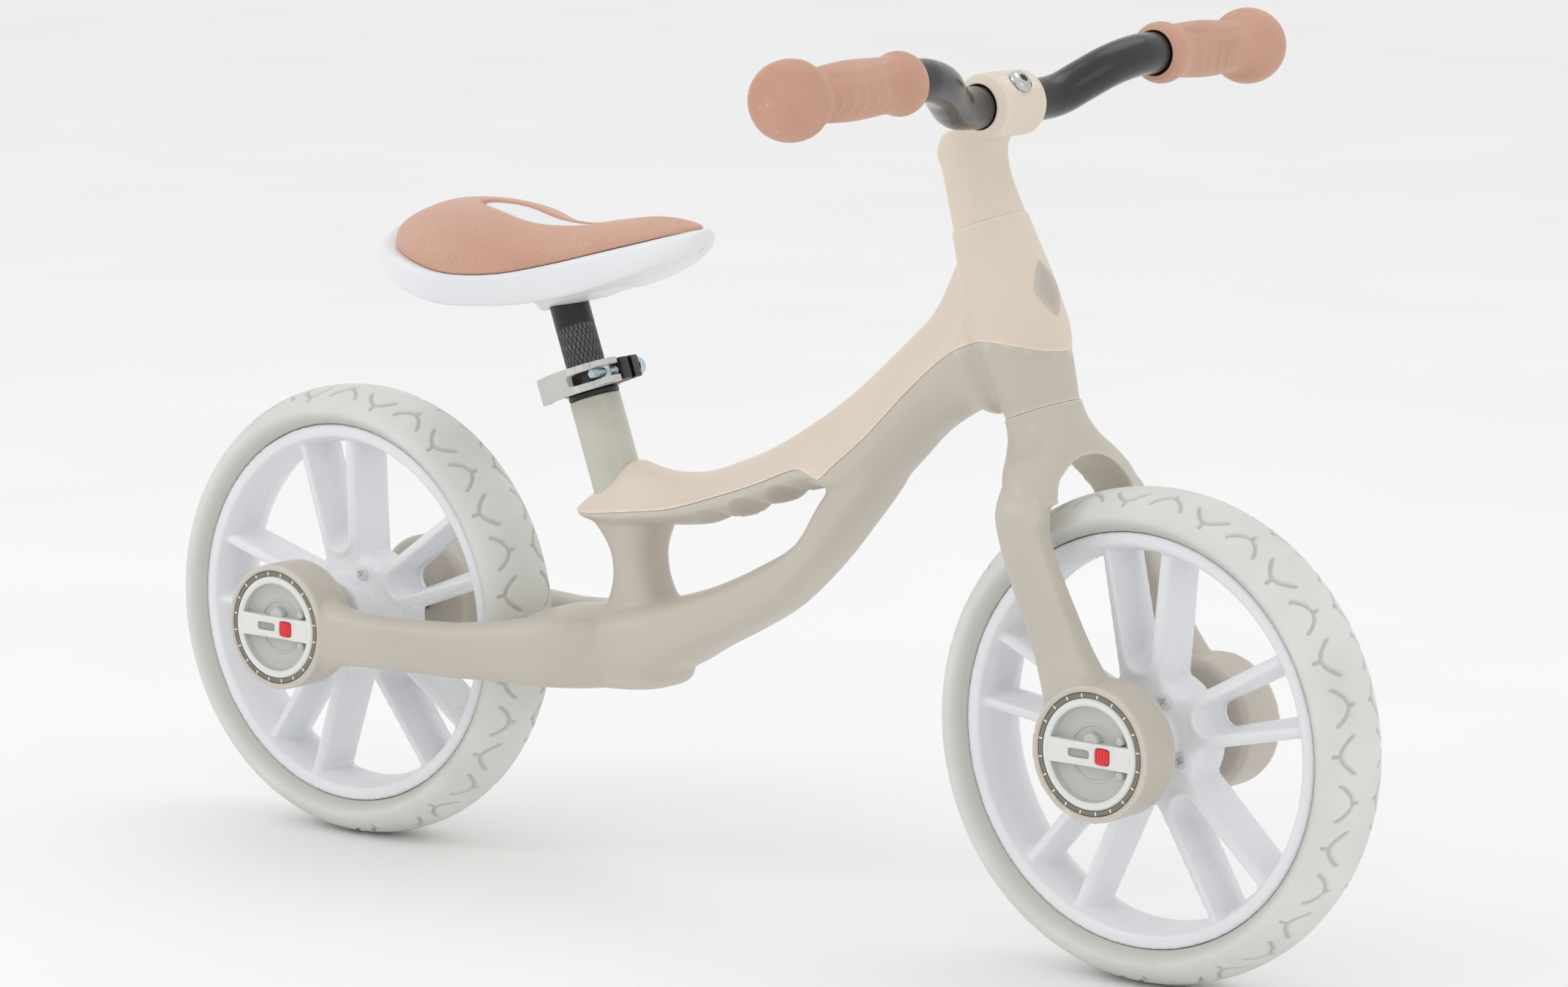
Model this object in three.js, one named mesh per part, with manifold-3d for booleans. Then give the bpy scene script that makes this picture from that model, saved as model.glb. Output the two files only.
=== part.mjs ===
// Toddler's balance bike with ten-inch wheels.
// Millimetres. +X is forward, +Y is the rider's left, +Z is up.
// The origin is on the ground, in the middle plane, halfway between the axles.
import * as THREE from 'three';
import { mergeVertices } from 'three/addons/utils/BufferGeometryUtils.js';
import Module from 'manifold-3d';

const wasm = await Module();
wasm.setup();

// ---------------------------------------------------------------- driving sizes
const WHEELBASE = 542;
const WHEEL_RADIUS = 127;
const TYRE_HALF_WIDTH = 25;
const RIM_EDGE_RADIUS = 106.4;
const RIM_HALF_WIDTH = 18.5;
const GAP = 0.3;

const REAR_AXLE_X = -WHEELBASE / 2;
const FRONT_AXLE_X = WHEELBASE / 2;
const AXLE_Z = WHEEL_RADIUS;
const AXLE_RADIUS = 4;

const HEAD_TILT = THREE.MathUtils.degToRad(20.5);
const HEAD_FOOT = new THREE.Vector3(197.3, 0, 286.3);
const HEAD_LENGTH = 99.6;
const STEERER_RADIUS = 11.1;
const BEARING_RADIUS = 15.2;
const BEARING_HEIGHT = 9;

const SEAT_TILT = THREE.MathUtils.degToRad(20.2);
const SEAT_TUBE_TOP = new THREE.Vector3(-102, 0, 263.5);
const SEAT_TUBE_LENGTH = 104;
const SEAT_TUBE_RADIUS = 14;
const POST_RADIUS = 10.8;

const BAR_RADIUS = 11;
const BAR_CENTRE = new THREE.Vector3(169, 0, 440.5);
const CLAMP_RADIUS = 16.8;
const CLAMP_HALF_WIDTH = 20;

const BOSS_RADIUS = 35;
const FRONT_BOSS = { inner: 31, outer: 60 };
const REAR_BOSS = { inner: 47, outer: 75 };
const CUP_DEPTH = 13;
const CUP_RADIUS = 31.5;
const KNOB_RADIUS = 28.4;

const COVER_THICKNESS = 2.8;
const HEAD_COVER_THICKNESS = 2;
const RIB_INSET = 6.5;

const SIMPLIFY = 0.08;
const WHEEL_STEPS = 36;
const ROUND_STEPS = 14;
const WIDE_STEPS = 20;
const KNOB_STEPS = 40;

// ---------------------------------------------------------------- colours
const COLOUR = {
  taupe: 0xcfc6bb,
  cream: 0xe6d9c8,
  stone: 0xc9c7bb,
  tan: 0xd2a58e,
  white: 0xf4f5f8,
  tyre: 0xd8d9d4,
  knob: 0xc9c9c2,
  ring: 0x6e6a60,
  red: 0xe21c28,
  black: 0x262727,
  lever: 0xc4c2bd,
  zinc: 0xbfd0da,
  steel: 0xb9babb,
};

function finish(colour, roughness, metalness = 0) {
  return new THREE.MeshStandardMaterial({ color: colour, roughness, metalness });
}

// ---------------------------------------------------------------- solid helpers
function toSolid(geometry) {
  const bare = geometry.clone();
  bare.deleteAttribute('normal');
  bare.deleteAttribute('uv');
  const merged = mergeVertices(bare, 1e-4);
  const mesh = new wasm.Mesh({
    numProp: 3,
    vertProperties: new Float32Array(merged.attributes.position.array),
    triVerts: new Uint32Array(merged.index.array),
  });
  return new wasm.Manifold(mesh);
}

function toGeometry(solid) {
  const mesh = solid.simplify(SIMPLIFY).getMesh();
  const geometry = new THREE.BufferGeometry();
  geometry.setAttribute('position', new THREE.BufferAttribute(mesh.vertProperties, 3));
  geometry.setIndex(new THREE.BufferAttribute(mesh.triVerts, 1));
  return geometry;
}

function signedVolume(positions, index) {
  const a = new THREE.Vector3();
  const b = new THREE.Vector3();
  const c = new THREE.Vector3();
  let total = 0;
  for (let i = 0; i < index.length; i += 3) {
    a.fromArray(positions, 3 * index[i]);
    b.fromArray(positions, 3 * index[i + 1]);
    c.fromArray(positions, 3 * index[i + 2]);
    total += a.dot(b.cross(c));
  }
  return total;
}

// A closed skin over a row of rings, each an array of the same number of points.
function loft(rings) {
  const count = rings[0].length;
  const positions = [];
  const index = [];
  for (const ring of rings) {
    for (const p of ring) positions.push(p.x, p.y, p.z);
  }
  for (let r = 0; r + 1 < rings.length; r += 1) {
    for (let i = 0; i < count; i += 1) {
      const j = (i + 1) % count;
      const a = r * count + i;
      const b = r * count + j;
      index.push(a, b, a + count, b, b + count, a + count);
    }
  }
  for (const [r, flip] of [[0, true], [rings.length - 1, false]]) {
    const centre = new THREE.Vector3();
    for (const p of rings[r]) centre.addScaledVector(p, 1 / count);
    const hub = positions.length / 3;
    positions.push(centre.x, centre.y, centre.z);
    for (let i = 0; i < count; i += 1) {
      const a = r * count + i;
      const b = r * count + ((i + 1) % count);
      index.push(...(flip ? [b, a, hub] : [a, b, hub]));
    }
  }
  if (signedVolume(positions, index) < 0) {
    for (let i = 0; i < index.length; i += 3) {
      [index[i], index[i + 1]] = [index[i + 1], index[i]];
    }
  }
  const geometry = new THREE.BufferGeometry();
  geometry.setAttribute('position', new THREE.BufferAttribute(new Float32Array(positions), 3));
  geometry.setIndex(index);
  return toSolid(geometry);
}

// One ring: a rounded rectangle (power 2 is an ellipse) across two unit vectors.
function roundedRing(centre, across, up, halfAcross, halfUp, power = 2.6, steps = 10) {
  const ring = [];
  for (let i = 0; i < steps; i += 1) {
    const turn = (2 * Math.PI * (i + 0.5)) / steps;
    const c = Math.cos(turn);
    const s = Math.sin(turn);
    const a = Math.sign(c) * Math.abs(c) ** (2 / power) * halfAcross;
    const b = Math.sign(s) * Math.abs(s) ** (2 / power) * halfUp;
    ring.push(centre.clone().addScaledVector(across, a).addScaledVector(up, b));
  }
  return ring;
}

const X_AXIS = new THREE.Vector3(1, 0, 0);
const Y_AXIS = new THREE.Vector3(0, 1, 0);
const Z_AXIS = new THREE.Vector3(0, 0, 1);

// A solid of revolution about the Y axis, from [radius, y] pairs.
function turned(profile, steps = ROUND_STEPS) {
  const points = profile.map(([r, y]) => new THREE.Vector2(r, y));
  const solid = toSolid(new THREE.LatheGeometry(points, steps));
  return solid.volume() < 0 ? solid.mirror([0, 0, 1]) : solid;
}

function rod(radius, from, to, steps = ROUND_STEPS) {
  return turned([[0, from], [radius, from], [radius, to], [0, to]], steps);
}

function sleeve(inner, outer, from, to, steps = ROUND_STEPS) {
  const profile = [[inner, from], [outer, from], [outer, to], [inner, to], [inner, from]];
  return turned(profile, steps);
}

function block(sizeX, sizeY, sizeZ, centre) {
  const geometry = new THREE.BoxGeometry(sizeX, sizeY, sizeZ);
  geometry.translate(centre.x, centre.y, centre.z);
  return toSolid(geometry);
}

// An outline of [x, z] points pushed along Y from one side to the other.
function plateY(outline, from, to, holes = []) {
  const shape = new THREE.Shape(outline.map(([x, z]) => new THREE.Vector2(x, z)));
  for (const hole of holes) {
    shape.holes.push(new THREE.Path(hole.map(([x, z]) => new THREE.Vector2(x, z))));
  }
  const geometry = new THREE.ExtrudeGeometry(shape, { depth: to - from, bevelEnabled: false });
  geometry.rotateX(Math.PI / 2);
  geometry.translate(0, to, 0);
  return toSolid(geometry);
}

function union(solids) {
  return solids.reduce((all, next) => all.add(next));
}

// The largest connected piece, without any crumbs that a cut leaves.
function mainPiece(solid) {
  return solid.decompose().reduce((best, next) => (next.volume() > best.volume() ? next : best));
}

function moved(solid, matrix) {
  return solid.transform(matrix.toArray());
}

// Puts a solid made along +Y onto a leaning axis, with its start at a point.
function onAxis(solid, tilt, foot) {
  const turnUp = new THREE.Matrix4().makeRotationX(Math.PI / 2);
  const lean = new THREE.Matrix4().makeRotationY(-tilt);
  const place = new THREE.Matrix4().makeTranslation(foot.x, foot.y, foot.z);
  return moved(solid, place.multiply(lean).multiply(turnUp));
}

function shifted(solid, x, y, z) {
  return solid.translate([x, y, z]);
}

function mirrored(solid) {
  return solid.mirror([0, 1, 0]);
}

const onHead = (solid) => onAxis(solid, HEAD_TILT, HEAD_FOOT);
const onSeat = (solid) => onAxis(solid, SEAT_TILT, SEAT_TUBE_TOP);

// A point in the head tube's own frame: forward of the axis, sideways, and up it.
function headPoint(forward, side, up) {
  return new THREE.Vector3(forward, side, up)
    .applyAxisAngle(Y_AXIS, -HEAD_TILT)
    .add(HEAD_FOOT);
}

// The same for the seat tube, measured from its top.
function seatPoint(forward, side, up) {
  return new THREE.Vector3(forward, side, up)
    .applyAxisAngle(Y_AXIS, -SEAT_TILT)
    .add(SEAT_TUBE_TOP);
}

// ---------------------------------------------------------------- the assembly
const bike = new THREE.Group();
const white = finish(COLOUR.white, 0.35);
const taupe = finish(COLOUR.taupe, 0.5);
const cream = finish(COLOUR.cream, 0.5);
const tan = finish(COLOUR.tan, 0.6);
const black = finish(COLOUR.black, 0.35);
const steel = finish(COLOUR.steel, 0.3, 1);
const zinc = finish(COLOUR.zinc, 0.3, 1);

function addPart(name, solid, material, group = bike) {
  const mesh = new THREE.Mesh(toGeometry(solid), material.clone());
  mesh.name = name;
  group.add(mesh);
}

// ---------------------------------------------------------------- wheels
const SPOKE_PAIRS = 5;
const HUB_RADIUS = 21;
const HUB_FACE = 13;
const BARREL_RADIUS = 95.5;
const HUB_BEARING_RADIUS = 11;
const HUB_BEARING_WIDTH = 7;

function tyreSolid() {
  const bead = RIM_HALF_WIDTH - 4.2;
  const profile = [
    [103, -bead], [RIM_EDGE_RADIUS + GAP, -bead], [RIM_EDGE_RADIUS + GAP, -17.5],
    [113.5, -TYRE_HALF_WIDTH], [120.5, -21], [125.5, -11],
    [WHEEL_RADIUS, 0],
    [125.5, 11], [120.5, 21], [113.5, TYRE_HALF_WIDTH],
    [RIM_EDGE_RADIUS + GAP, 17.5], [RIM_EDGE_RADIUS + GAP, bead], [103, bead],
    [103, -bead],
  ];
  return turned(profile, WHEEL_STEPS);
}

function rimRing() {
  const bead = RIM_HALF_WIDTH - 3.6;
  const profile = [
    [RIM_EDGE_RADIUS, -RIM_HALF_WIDTH], [RIM_EDGE_RADIUS, -bead], [102.6, -bead + 0.4],
    [102.6, bead - 0.4], [RIM_EDGE_RADIUS, bead], [RIM_EDGE_RADIUS, RIM_HALF_WIDTH],
    [99.5, RIM_HALF_WIDTH], [BARREL_RADIUS, 8], [BARREL_RADIUS, -8],
    [99.5, -RIM_HALF_WIDTH], [RIM_EDGE_RADIUS, -RIM_HALF_WIDTH],
  ];
  return turned(profile, WHEEL_STEPS);
}

// A U open towards the rim, in [radius, across] pairs.
function spokeOutline(tip, halfAtTip, halfAtRim, rim) {
  const shape = [[rim, -halfAtRim]];
  const steps = 4;
  for (let i = 0; i <= steps; i += 1) {
    const turn = (Math.PI * i) / steps;
    shape.push([tip + halfAtTip * (1 - Math.sin(turn)), -halfAtTip * Math.cos(turn)]);
  }
  shape.push([rim, halfAtRim]);
  return shape;
}

function spokePair() {
  const reach = BARREL_RADIUS + 2;
  const leg = plateY(spokeOutline(22, 13.5, 22, reach), -14, 14);
  const slot = plateY(spokeOutline(41, 6.2, 12, reach + 20), -20, 20);
  return leg.subtract(slot);
}

// The room that the rim's ring takes up, with a gap along its inner side.
function ringRoom() {
  return turned([
    [RIM_EDGE_RADIUS, -RIM_HALF_WIDTH], [RIM_EDGE_RADIUS, RIM_HALF_WIDTH],
    [99.5 - GAP, RIM_HALF_WIDTH], [BARREL_RADIUS - GAP, 8], [BARREL_RADIUS - GAP, -8],
    [99.5 - GAP, -RIM_HALF_WIDTH], [RIM_EDGE_RADIUS, -RIM_HALF_WIDTH],
  ], WHEEL_STEPS);
}

function spokesSolid(hubReach, startAngle) {
  const disc = turned([
    [0, -hubReach], [HUB_RADIUS, -hubReach], [HUB_RADIUS, -HUB_FACE - 1], [33, -HUB_FACE],
    [33, HUB_FACE], [HUB_RADIUS, HUB_FACE + 1], [HUB_RADIUS, hubReach], [0, hubReach],
  ]);
  const pieces = [disc];
  for (let i = 0; i < SPOKE_PAIRS; i += 1) {
    const turn = startAngle + (360 / SPOKE_PAIRS) * i;
    pieces.push(spokePair().rotate([0, -turn, 0]));
  }
  const seat = rod(HUB_BEARING_RADIUS + GAP, hubReach - HUB_BEARING_WIDTH - GAP, hubReach + 1);
  return union(pieces)
    .subtract(ringRoom())
    .subtract(rod(AXLE_RADIUS + 1.5, -40, 40))
    .subtract(seat)
    .subtract(mirrored(seat));
}

function addWheel(end, axleX, boss, startAngle) {
  const group = new THREE.Group();
  group.position.set(axleX, 0, AXLE_Z);
  bike.add(group);
  const hubReach = FRONT_BOSS.inner - 4;
  addPart(`tyre_${end}`, tyreSolid(), finish(COLOUR.tyre, 0.75), group);
  addPart(`wheel_rim_${end}`, rimRing(), white, group);
  addPart(`wheel_spokes_${end}`, spokesSolid(hubReach, startAngle), white, group);
  const axleReach = boss.outer - 8;
  addPart(`axle_${end}`, rod(AXLE_RADIUS, -axleReach, axleReach, 16), steel, group);
  for (const [side, sign] of [['left', 1], ['right', -1]]) {
    const bearing = sleeve(
      AXLE_RADIUS + GAP, HUB_BEARING_RADIUS, hubReach - HUB_BEARING_WIDTH, hubReach - 0.5,
    );
    const spacer = sleeve(AXLE_RADIUS + GAP, 7.5, hubReach - 0.2, boss.inner - GAP);
    const pick = (solid) => (sign > 0 ? solid : mirrored(solid));
    addPart(`wheel_bearing_${end}_${side}`, pick(bearing), steel, group);
    addPart(`axle_spacer_${end}_${side}`, pick(spacer), black, group);
  }
}

addWheel('front', FRONT_AXLE_X, FRONT_BOSS, 21);
addWheel('rear', REAR_AXLE_X, REAR_BOSS, 28);

// ---------------------------------------------------------------- locking knobs
const KNOB_DEPTH = 12;
const DISH_DEPTH = 5;
const BAR_HALF_HEIGHT = 6;
const BUTTON_OFFSET = 9;
const BUTTON_HALF = 3.4;
const BUTTON_TRAVEL = 2.5;
const BUTTON_PROUD = 0.6;
const BUTTON_WELL_DEPTH = 7.5;

// A knob in its own frame: face at y = 0, body towards -y, bar handle along x.
function knobSolid() {
  const dial = turned([
    [0, -KNOB_DEPTH], [KNOB_RADIUS - 2, -KNOB_DEPTH], [KNOB_RADIUS, -KNOB_DEPTH + 3],
    [KNOB_RADIUS, -0.8], [KNOB_RADIUS - 0.8, 0], [0, 0],
  ], KNOB_STEPS);
  const dish = turned([
    [0, -DISH_DEPTH], [KNOB_RADIUS - 5.5, -DISH_DEPTH], [KNOB_RADIUS - 3, 1], [0, 1],
  ], WIDE_STEPS);
  const keepBar = block(60, 20, 2 * BAR_HALF_HEIGHT, new THREE.Vector3());
  const buttonWell = block(
    2 * BUTTON_HALF + 0.8, 2 * BUTTON_WELL_DEPTH, 2 * BUTTON_HALF + 0.8,
    new THREE.Vector3(BUTTON_OFFSET, 0, 0),
  );
  const slotWell = block(10, 6, 4.4, new THREE.Vector3(-6, 0.5, 0));
  return dial
    .subtract(dish.subtract(keepBar))
    .subtract(buttonWell)
    .subtract(slotWell)
    .subtract(rod(AXLE_RADIUS + GAP, -KNOB_DEPTH - 1, -KNOB_DEPTH + 5 + GAP, 16));
}

function buttonSolid() {
  const depth = BUTTON_WELL_DEPTH + BUTTON_PROUD - BUTTON_TRAVEL - GAP;
  return block(
    2 * BUTTON_HALF, depth, 2 * BUTTON_HALF,
    new THREE.Vector3(BUTTON_OFFSET, BUTTON_PROUD - depth / 2, 0),
  );
}

function addKnob(end, side, axleX, boss) {
  const sign = side === 'left' ? 1 : -1;
  const group = new THREE.Group();
  group.position.set(axleX, sign * boss.outer, AXLE_Z);
  bike.add(group);
  const face = (solid) => (sign > 0 ? solid : mirrored(solid));
  const ring = sleeve(KNOB_RADIUS + GAP, CUP_RADIUS - GAP, -KNOB_DEPTH, -0.6, KNOB_STEPS);
  addPart(`index_ring_${end}_${side}`, face(ring), finish(COLOUR.ring, 0.55), group);
  addPart(`lock_knob_${end}_${side}`, face(knobSolid()), finish(COLOUR.knob, 0.45), group);
  addPart(`lock_button_${end}_${side}`, face(buttonSolid()), finish(COLOUR.red, 0.35), group);
}

for (const side of ['left', 'right']) {
  addKnob('front', side, FRONT_AXLE_X, FRONT_BOSS);
  addKnob('rear', side, REAR_AXLE_X, REAR_BOSS);
}

// A boss that holds an axle end and a knob, in the wheel's frame, on the +Y side.
function bossSolid(boss) {
  return turned([
    [0, boss.inner], [BOSS_RADIUS - 3, boss.inner], [BOSS_RADIUS, boss.inner + 3],
    [BOSS_RADIUS, boss.outer - 1.2], [BOSS_RADIUS - 1.2, boss.outer], [0, boss.outer],
  ], WIDE_STEPS);
}

function bossBore(boss) {
  const cup = rod(CUP_RADIUS, boss.outer - CUP_DEPTH, boss.outer + 5, KNOB_STEPS);
  return cup.add(rod(AXLE_RADIUS + GAP, boss.inner - 5, boss.outer, 16));
}

// ---------------------------------------------------------------- frame outline
// Sections of the beam from its tail to the head tube. Each one starts at the ridge
// and leans forward: [x, z, lean in degrees, drop to lip, drop to belly, half width].
const BEAM_SECTIONS = [
  [-107, 206.5, 0, 3, 8, 8],
  [-102, 209.5, 0, 5.5, 11, 15.5],
  [-93, 216, 0, 11.5, 18, 21],
  [-82, 225, 0, 19.5, 28, 23],
  [-71, 231.5, 0, 25, 35, 23.5],
  [-57, 229, 0, 20.5, 29.5, 24],
  [-42, 228, 2, 17, 26.3, 24],
  [-20, 231, 8, 14.4, 26.3, 24],
  [0, 238, 12, 14.8, 28, 24],
  [20, 246.3, 16, 15.6, 28, 24],
  [40, 257.2, 22, 18.5, 30, 24],
  [51, 264, 27, 23.3, 33, 24],
  [60.3, 269.8, 34, 30.5, 58, 24],
  [81, 285, 38, 28.3, 48, 23.5],
  [101.4, 302.7, 41, 26.7, 46, 23],
  [119.1, 318.6, 43, 26, 50, 22.5],
  [128, 327, 40, 26.5, 57, 22],
  [135, 337, 36, 27, 68, 21],
  [139.5, 346, 58, 24, 36, 20],
  [144, 356, 72, 20, 28, 17],
  [148.5, 368, 84, 18, 24, 15],
];

// The seam between cover and body, seen from the side: [x, z].
const LIP_LINE = [
  [-140, 203], [-95, 204], [-72, 206.6], [-51, 209.6], [-33, 212.5], [-17, 217],
  [1, 223], [17, 228.5], [32.7, 234.4], [48, 241], [57, 243.5], [64, 242.4],
  [69, 240], [73, 241], [80, 247.8], [99.8, 264.2], [124.9, 289.1], [144.9, 307.2], [157.3, 315.6],
  [170, 320.6], [182, 322], [194, 321.2], [206, 318.8], [218, 316.6], [250, 314],
];

// Half of a beam section as [fraction of half width, fraction of its part's height].
const BELLY_SHAPE = [[0.45, 1], [0.93, 0.45]];
const TENT_SHAPE = [[1, 0], [0.84, 0.2], [0.46, 0.76], [0.16, 1]];

function beamRing([x, z, lean, lipDrop, bellyDrop, halfWidth], inset) {
  const angle = THREE.MathUtils.degToRad(lean);
  const down = new THREE.Vector3(Math.sin(angle), 0, -Math.cos(angle));
  const lip = new THREE.Vector3(x, 0, z).addScaledVector(down, lipDrop);
  const tent = lipDrop - inset;
  const belly = bellyDrop - lipDrop - inset;
  const width = Math.max(halfWidth - inset, 2);
  const half = [
    ...BELLY_SHAPE.map(([w, h]) => [w * width, h * belly]),
    ...TENT_SHAPE.map(([w, h]) => [w * width, -h * tent]),
  ];
  const at = (w, d) => lip.clone().addScaledVector(down, d).addScaledVector(Y_AXIS, w);
  const left = half.map(([w, d]) => at(w, d));
  const right = half.map(([w, d]) => at(-w, d)).reverse();
  return [...left, ...right];
}

function beamSolid(inset, sections = BEAM_SECTIONS) {
  return loft(sections.map((section) => beamRing(section, inset)));
}

// The rib of the body that stands up inside the cover.
function coverRib() {
  return beamSolid(RIB_INSET, BEAM_SECTIONS.slice(2, -1));
}

// Radius of the head tube at heights above the lower seam.
const HEAD_PROFILE = [
  [19.4, 0.4], [20, 5], [21.2, 14], [22, 21], [22.9, 28], [24.3, 35], [24.5, 44],
  [23.7, 62], [21.7, 80], [19.6, 98],
  [19.2, HEAD_LENGTH - GAP],
];

function headSolid(inset, top) {
  const profile = HEAD_PROFILE.map(([r, h]) => [r - inset, Math.min(h, top)]);
  return onHead(turned([[0, 0.4], ...profile, [0, top]], WIDE_STEPS));
}

// Sections of the tube below the handle: [x, z, slope, half height, half width].
const TUBE_SECTIONS = [
  [90, 241, 48, 12, 21],
  [69.6, 218.9, 45, 14.2, 21],
  [52.7, 196.8, 40, 12, 21],
  [28, 175.3, 34, 13.7, 21],
  [3, 161.5, 28, 15, 22],
  [-20, 151, 22, 16.5, 24],
  [-45, 140, 12, 20, 27],
  [-72, 133, 5, 21.5, 32],
  [-100, 130, 2, 20, 37],
  [-128, 128.5, 0, 17.5, 42],
];

function tubeSolid() {
  return loft(TUBE_SECTIONS.map(([x, z, slope, halfUp, halfAcross]) => {
    const angle = THREE.MathUtils.degToRad(slope);
    const up = new THREE.Vector3(-Math.sin(angle), 0, Math.cos(angle));
    return roundedRing(new THREE.Vector3(x, 0, z), Y_AXIS, up, halfAcross, halfUp, 2.8);
  }));
}

// The post under the saddle: [height, centre x, half length, half width].
const PILLAR_SECTIONS = [
  [140, -67, 24, 22],
  [157, -67, 18.5, 17],
  [170, -68.5, 14, 15],
  [184, -70.5, 14, 15.5],
  [196, -73, 20, 18],
  [207, -76, 27, 21.5],
];

function pillarSolid() {
  return loft(PILLAR_SECTIONS.map(([z, x, halfLength, halfWidth]) => (
    roundedRing(new THREE.Vector3(x, 0, z), X_AXIS, Y_AXIS, halfLength, halfWidth, 2.6)
  )));
}

// The left rear arm: [x, y, half height, half width].
const ARM_SECTIONS = [
  [-62, 8, 17, 14],
  [-98, 29, 21, 16],
  [-130, 43, 16.8, 13],
  [-160, 52.5, 14.8, 11.5],
  [-195, 59.5, 14.4, 11],
  [-225, 62.5, 15.5, 11],
  [-248, 62.5, 22, 11.5],
  [-268, 61.5, 30, 12.5],
];

function armSolid() {
  return loft(ARM_SECTIONS.map(([x, y, halfUp, halfAcross], i) => {
    const [ax, ay] = ARM_SECTIONS[Math.max(i - 1, 0)];
    const [bx, by] = ARM_SECTIONS[Math.min(i + 1, ARM_SECTIONS.length - 1)];
    const across = new THREE.Vector3(ay - by, bx - ax, 0).normalize();
    const centreZ = AXLE_Z - 2 + 5 * Math.max(0, (x + 160) / 94);
    return roundedRing(new THREE.Vector3(x, y, centreZ), across, Z_AXIS, halfAcross, halfUp, 3);
  }));
}

// The foot rest under the belly: [x, centre z, half height, half width].
const FOOTREST_SECTIONS = [
  [-41, 121, 4, 10],
  [-47, 119, 7.5, 19],
  [-60, 118, 8.5, 27],
  [-80, 117, 8, 31],
  [-105, 116, 7, 33],
  [-130, 117, 5, 38],
];
const BELLY_FLAT_Z = 110.5;

function footrestSolid() {
  return loft(FOOTREST_SECTIONS.map(([x, z, halfUp, halfAcross]) => (
    roundedRing(new THREE.Vector3(x, 0, z), Y_AXIS, Z_AXIS, halfAcross, halfUp, 3)
  )));
}

function wheelRoom(axleX, radius, halfWidth) {
  const profile = [
    [0, -halfWidth], [radius - 12, -halfWidth], [radius, -halfWidth + 12],
    [radius, halfWidth - 12], [radius - 12, halfWidth], [0, halfWidth],
  ];
  return shifted(turned(profile, WHEEL_STEPS), axleX, 0, AXLE_Z);
}

// Everything above the seam, as one thick slab.
function aboveLip(gap) {
  const top = 480;
  const outline = [
    ...LIP_LINE.map(([x, z]) => [x, z + gap]),
    [250, top], [-140, top],
  ];
  return plateY(outline, -60, 60);
}

const FINGER_PITCH = 26;
const FINGER_RADIUS = 13;
const FINGER_COUNT = 3;
const FINGER_DEPTH = 2.4;

// Hollows for the fingers along the underside of the handle.
function fingerHollows() {
  const slope = THREE.MathUtils.degToRad(21);
  const hollows = [];
  for (let i = 0; i < FINGER_COUNT; i += 1) {
    const along = FINGER_PITCH * i;
    const x = -4 + along * Math.cos(slope);
    const z = 212.2 + along * Math.sin(slope) - FINGER_RADIUS + FINGER_DEPTH;
    hollows.push(shifted(rod(FINGER_RADIUS, -30, 30, 24), x, 0, z));
  }
  return union(hollows);
}

const headBore = onHead(union([
  rod(STEERER_RADIUS + 1.2, -5, HEAD_LENGTH + 5),
  rod(BEARING_RADIUS + GAP, -5, BEARING_HEIGHT + 1),
  rod(BEARING_RADIUS + GAP, HEAD_LENGTH - BEARING_HEIGHT - 1, HEAD_LENGTH + 5),
]));
const seatBore = onSeat(rod(SEAT_TUBE_RADIUS + GAP, -SEAT_TUBE_LENGTH - GAP, 10, 24));

function frameSolids() {
  const shape = union([beamSolid(0), headSolid(0, HEAD_LENGTH - GAP)]);
  const core = coverRib().add(headSolid(HEAD_COVER_THICKNESS + GAP, HEAD_LENGTH - GAP));
  const room = union([
    beamSolid(COVER_THICKNESS),
    headSolid(HEAD_COVER_THICKNESS, HEAD_LENGTH + 5),
  ]);
  const cover = shape.intersect(aboveLip(GAP / 2)).subtract(room).subtract(seatBore);
  const boss = shifted(bossSolid(REAR_BOSS), REAR_AXLE_X, 0, AXLE_Z);
  const bore = shifted(bossBore(REAR_BOSS), REAR_AXLE_X, 0, AXLE_Z);
  const arm = armSolid().add(boss);
  const lower = union([shape.subtract(fingerHollows()), tubeSolid(), pillarSolid()])
    .subtract(aboveLip(-GAP / 2));
  const body = union([lower, core, footrestSolid()])
    .subtract(wheelRoom(REAR_AXLE_X, WHEEL_RADIUS + 9, 34))
    .add(arm)
    .add(mirrored(arm))
    .subtract(block(200, 120, 40, new THREE.Vector3(-80, 0, BELLY_FLAT_Z - 20)))
    .subtract(bore)
    .subtract(mirrored(bore))
    .subtract(headBore)
    .subtract(seatBore);
  return { cover: mainPiece(cover), body: mainPiece(body) };
}

const frame = frameSolids();
addPart('frame_body', frame.body, taupe);
addPart('frame_cover', frame.cover, cream);

// ---------------------------------------------------------------- headset and fork
const STEERER_FOOT = -16;
const STEERER_TOP = 126;
addPart('steerer_tube', onHead(sleeve(
  STEERER_RADIUS - 2, STEERER_RADIUS, STEERER_FOOT, STEERER_TOP,
)), steel);
addPart('headset_bearing_lower', onHead(sleeve(
  STEERER_RADIUS + GAP, BEARING_RADIUS, 1, BEARING_HEIGHT,
)), steel);
addPart('headset_bearing_upper', onHead(sleeve(
  STEERER_RADIUS + GAP, BEARING_RADIUS, HEAD_LENGTH - BEARING_HEIGHT, HEAD_LENGTH - 1,
)), steel);

// Crown sections in the head tube's frame: [up, forward, half forward, half side].
const CROWN_SECTIONS = [
  [-0.2, 0, 19.2, 19.2],
  [-9, 0, 19.5, 21],
  [-18, 0, 20, 28],
  [-27, 1, 19.5, 39],
  [-37, 3, 18, 47],
  [-50, 6, 15, 50],
];

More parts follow.
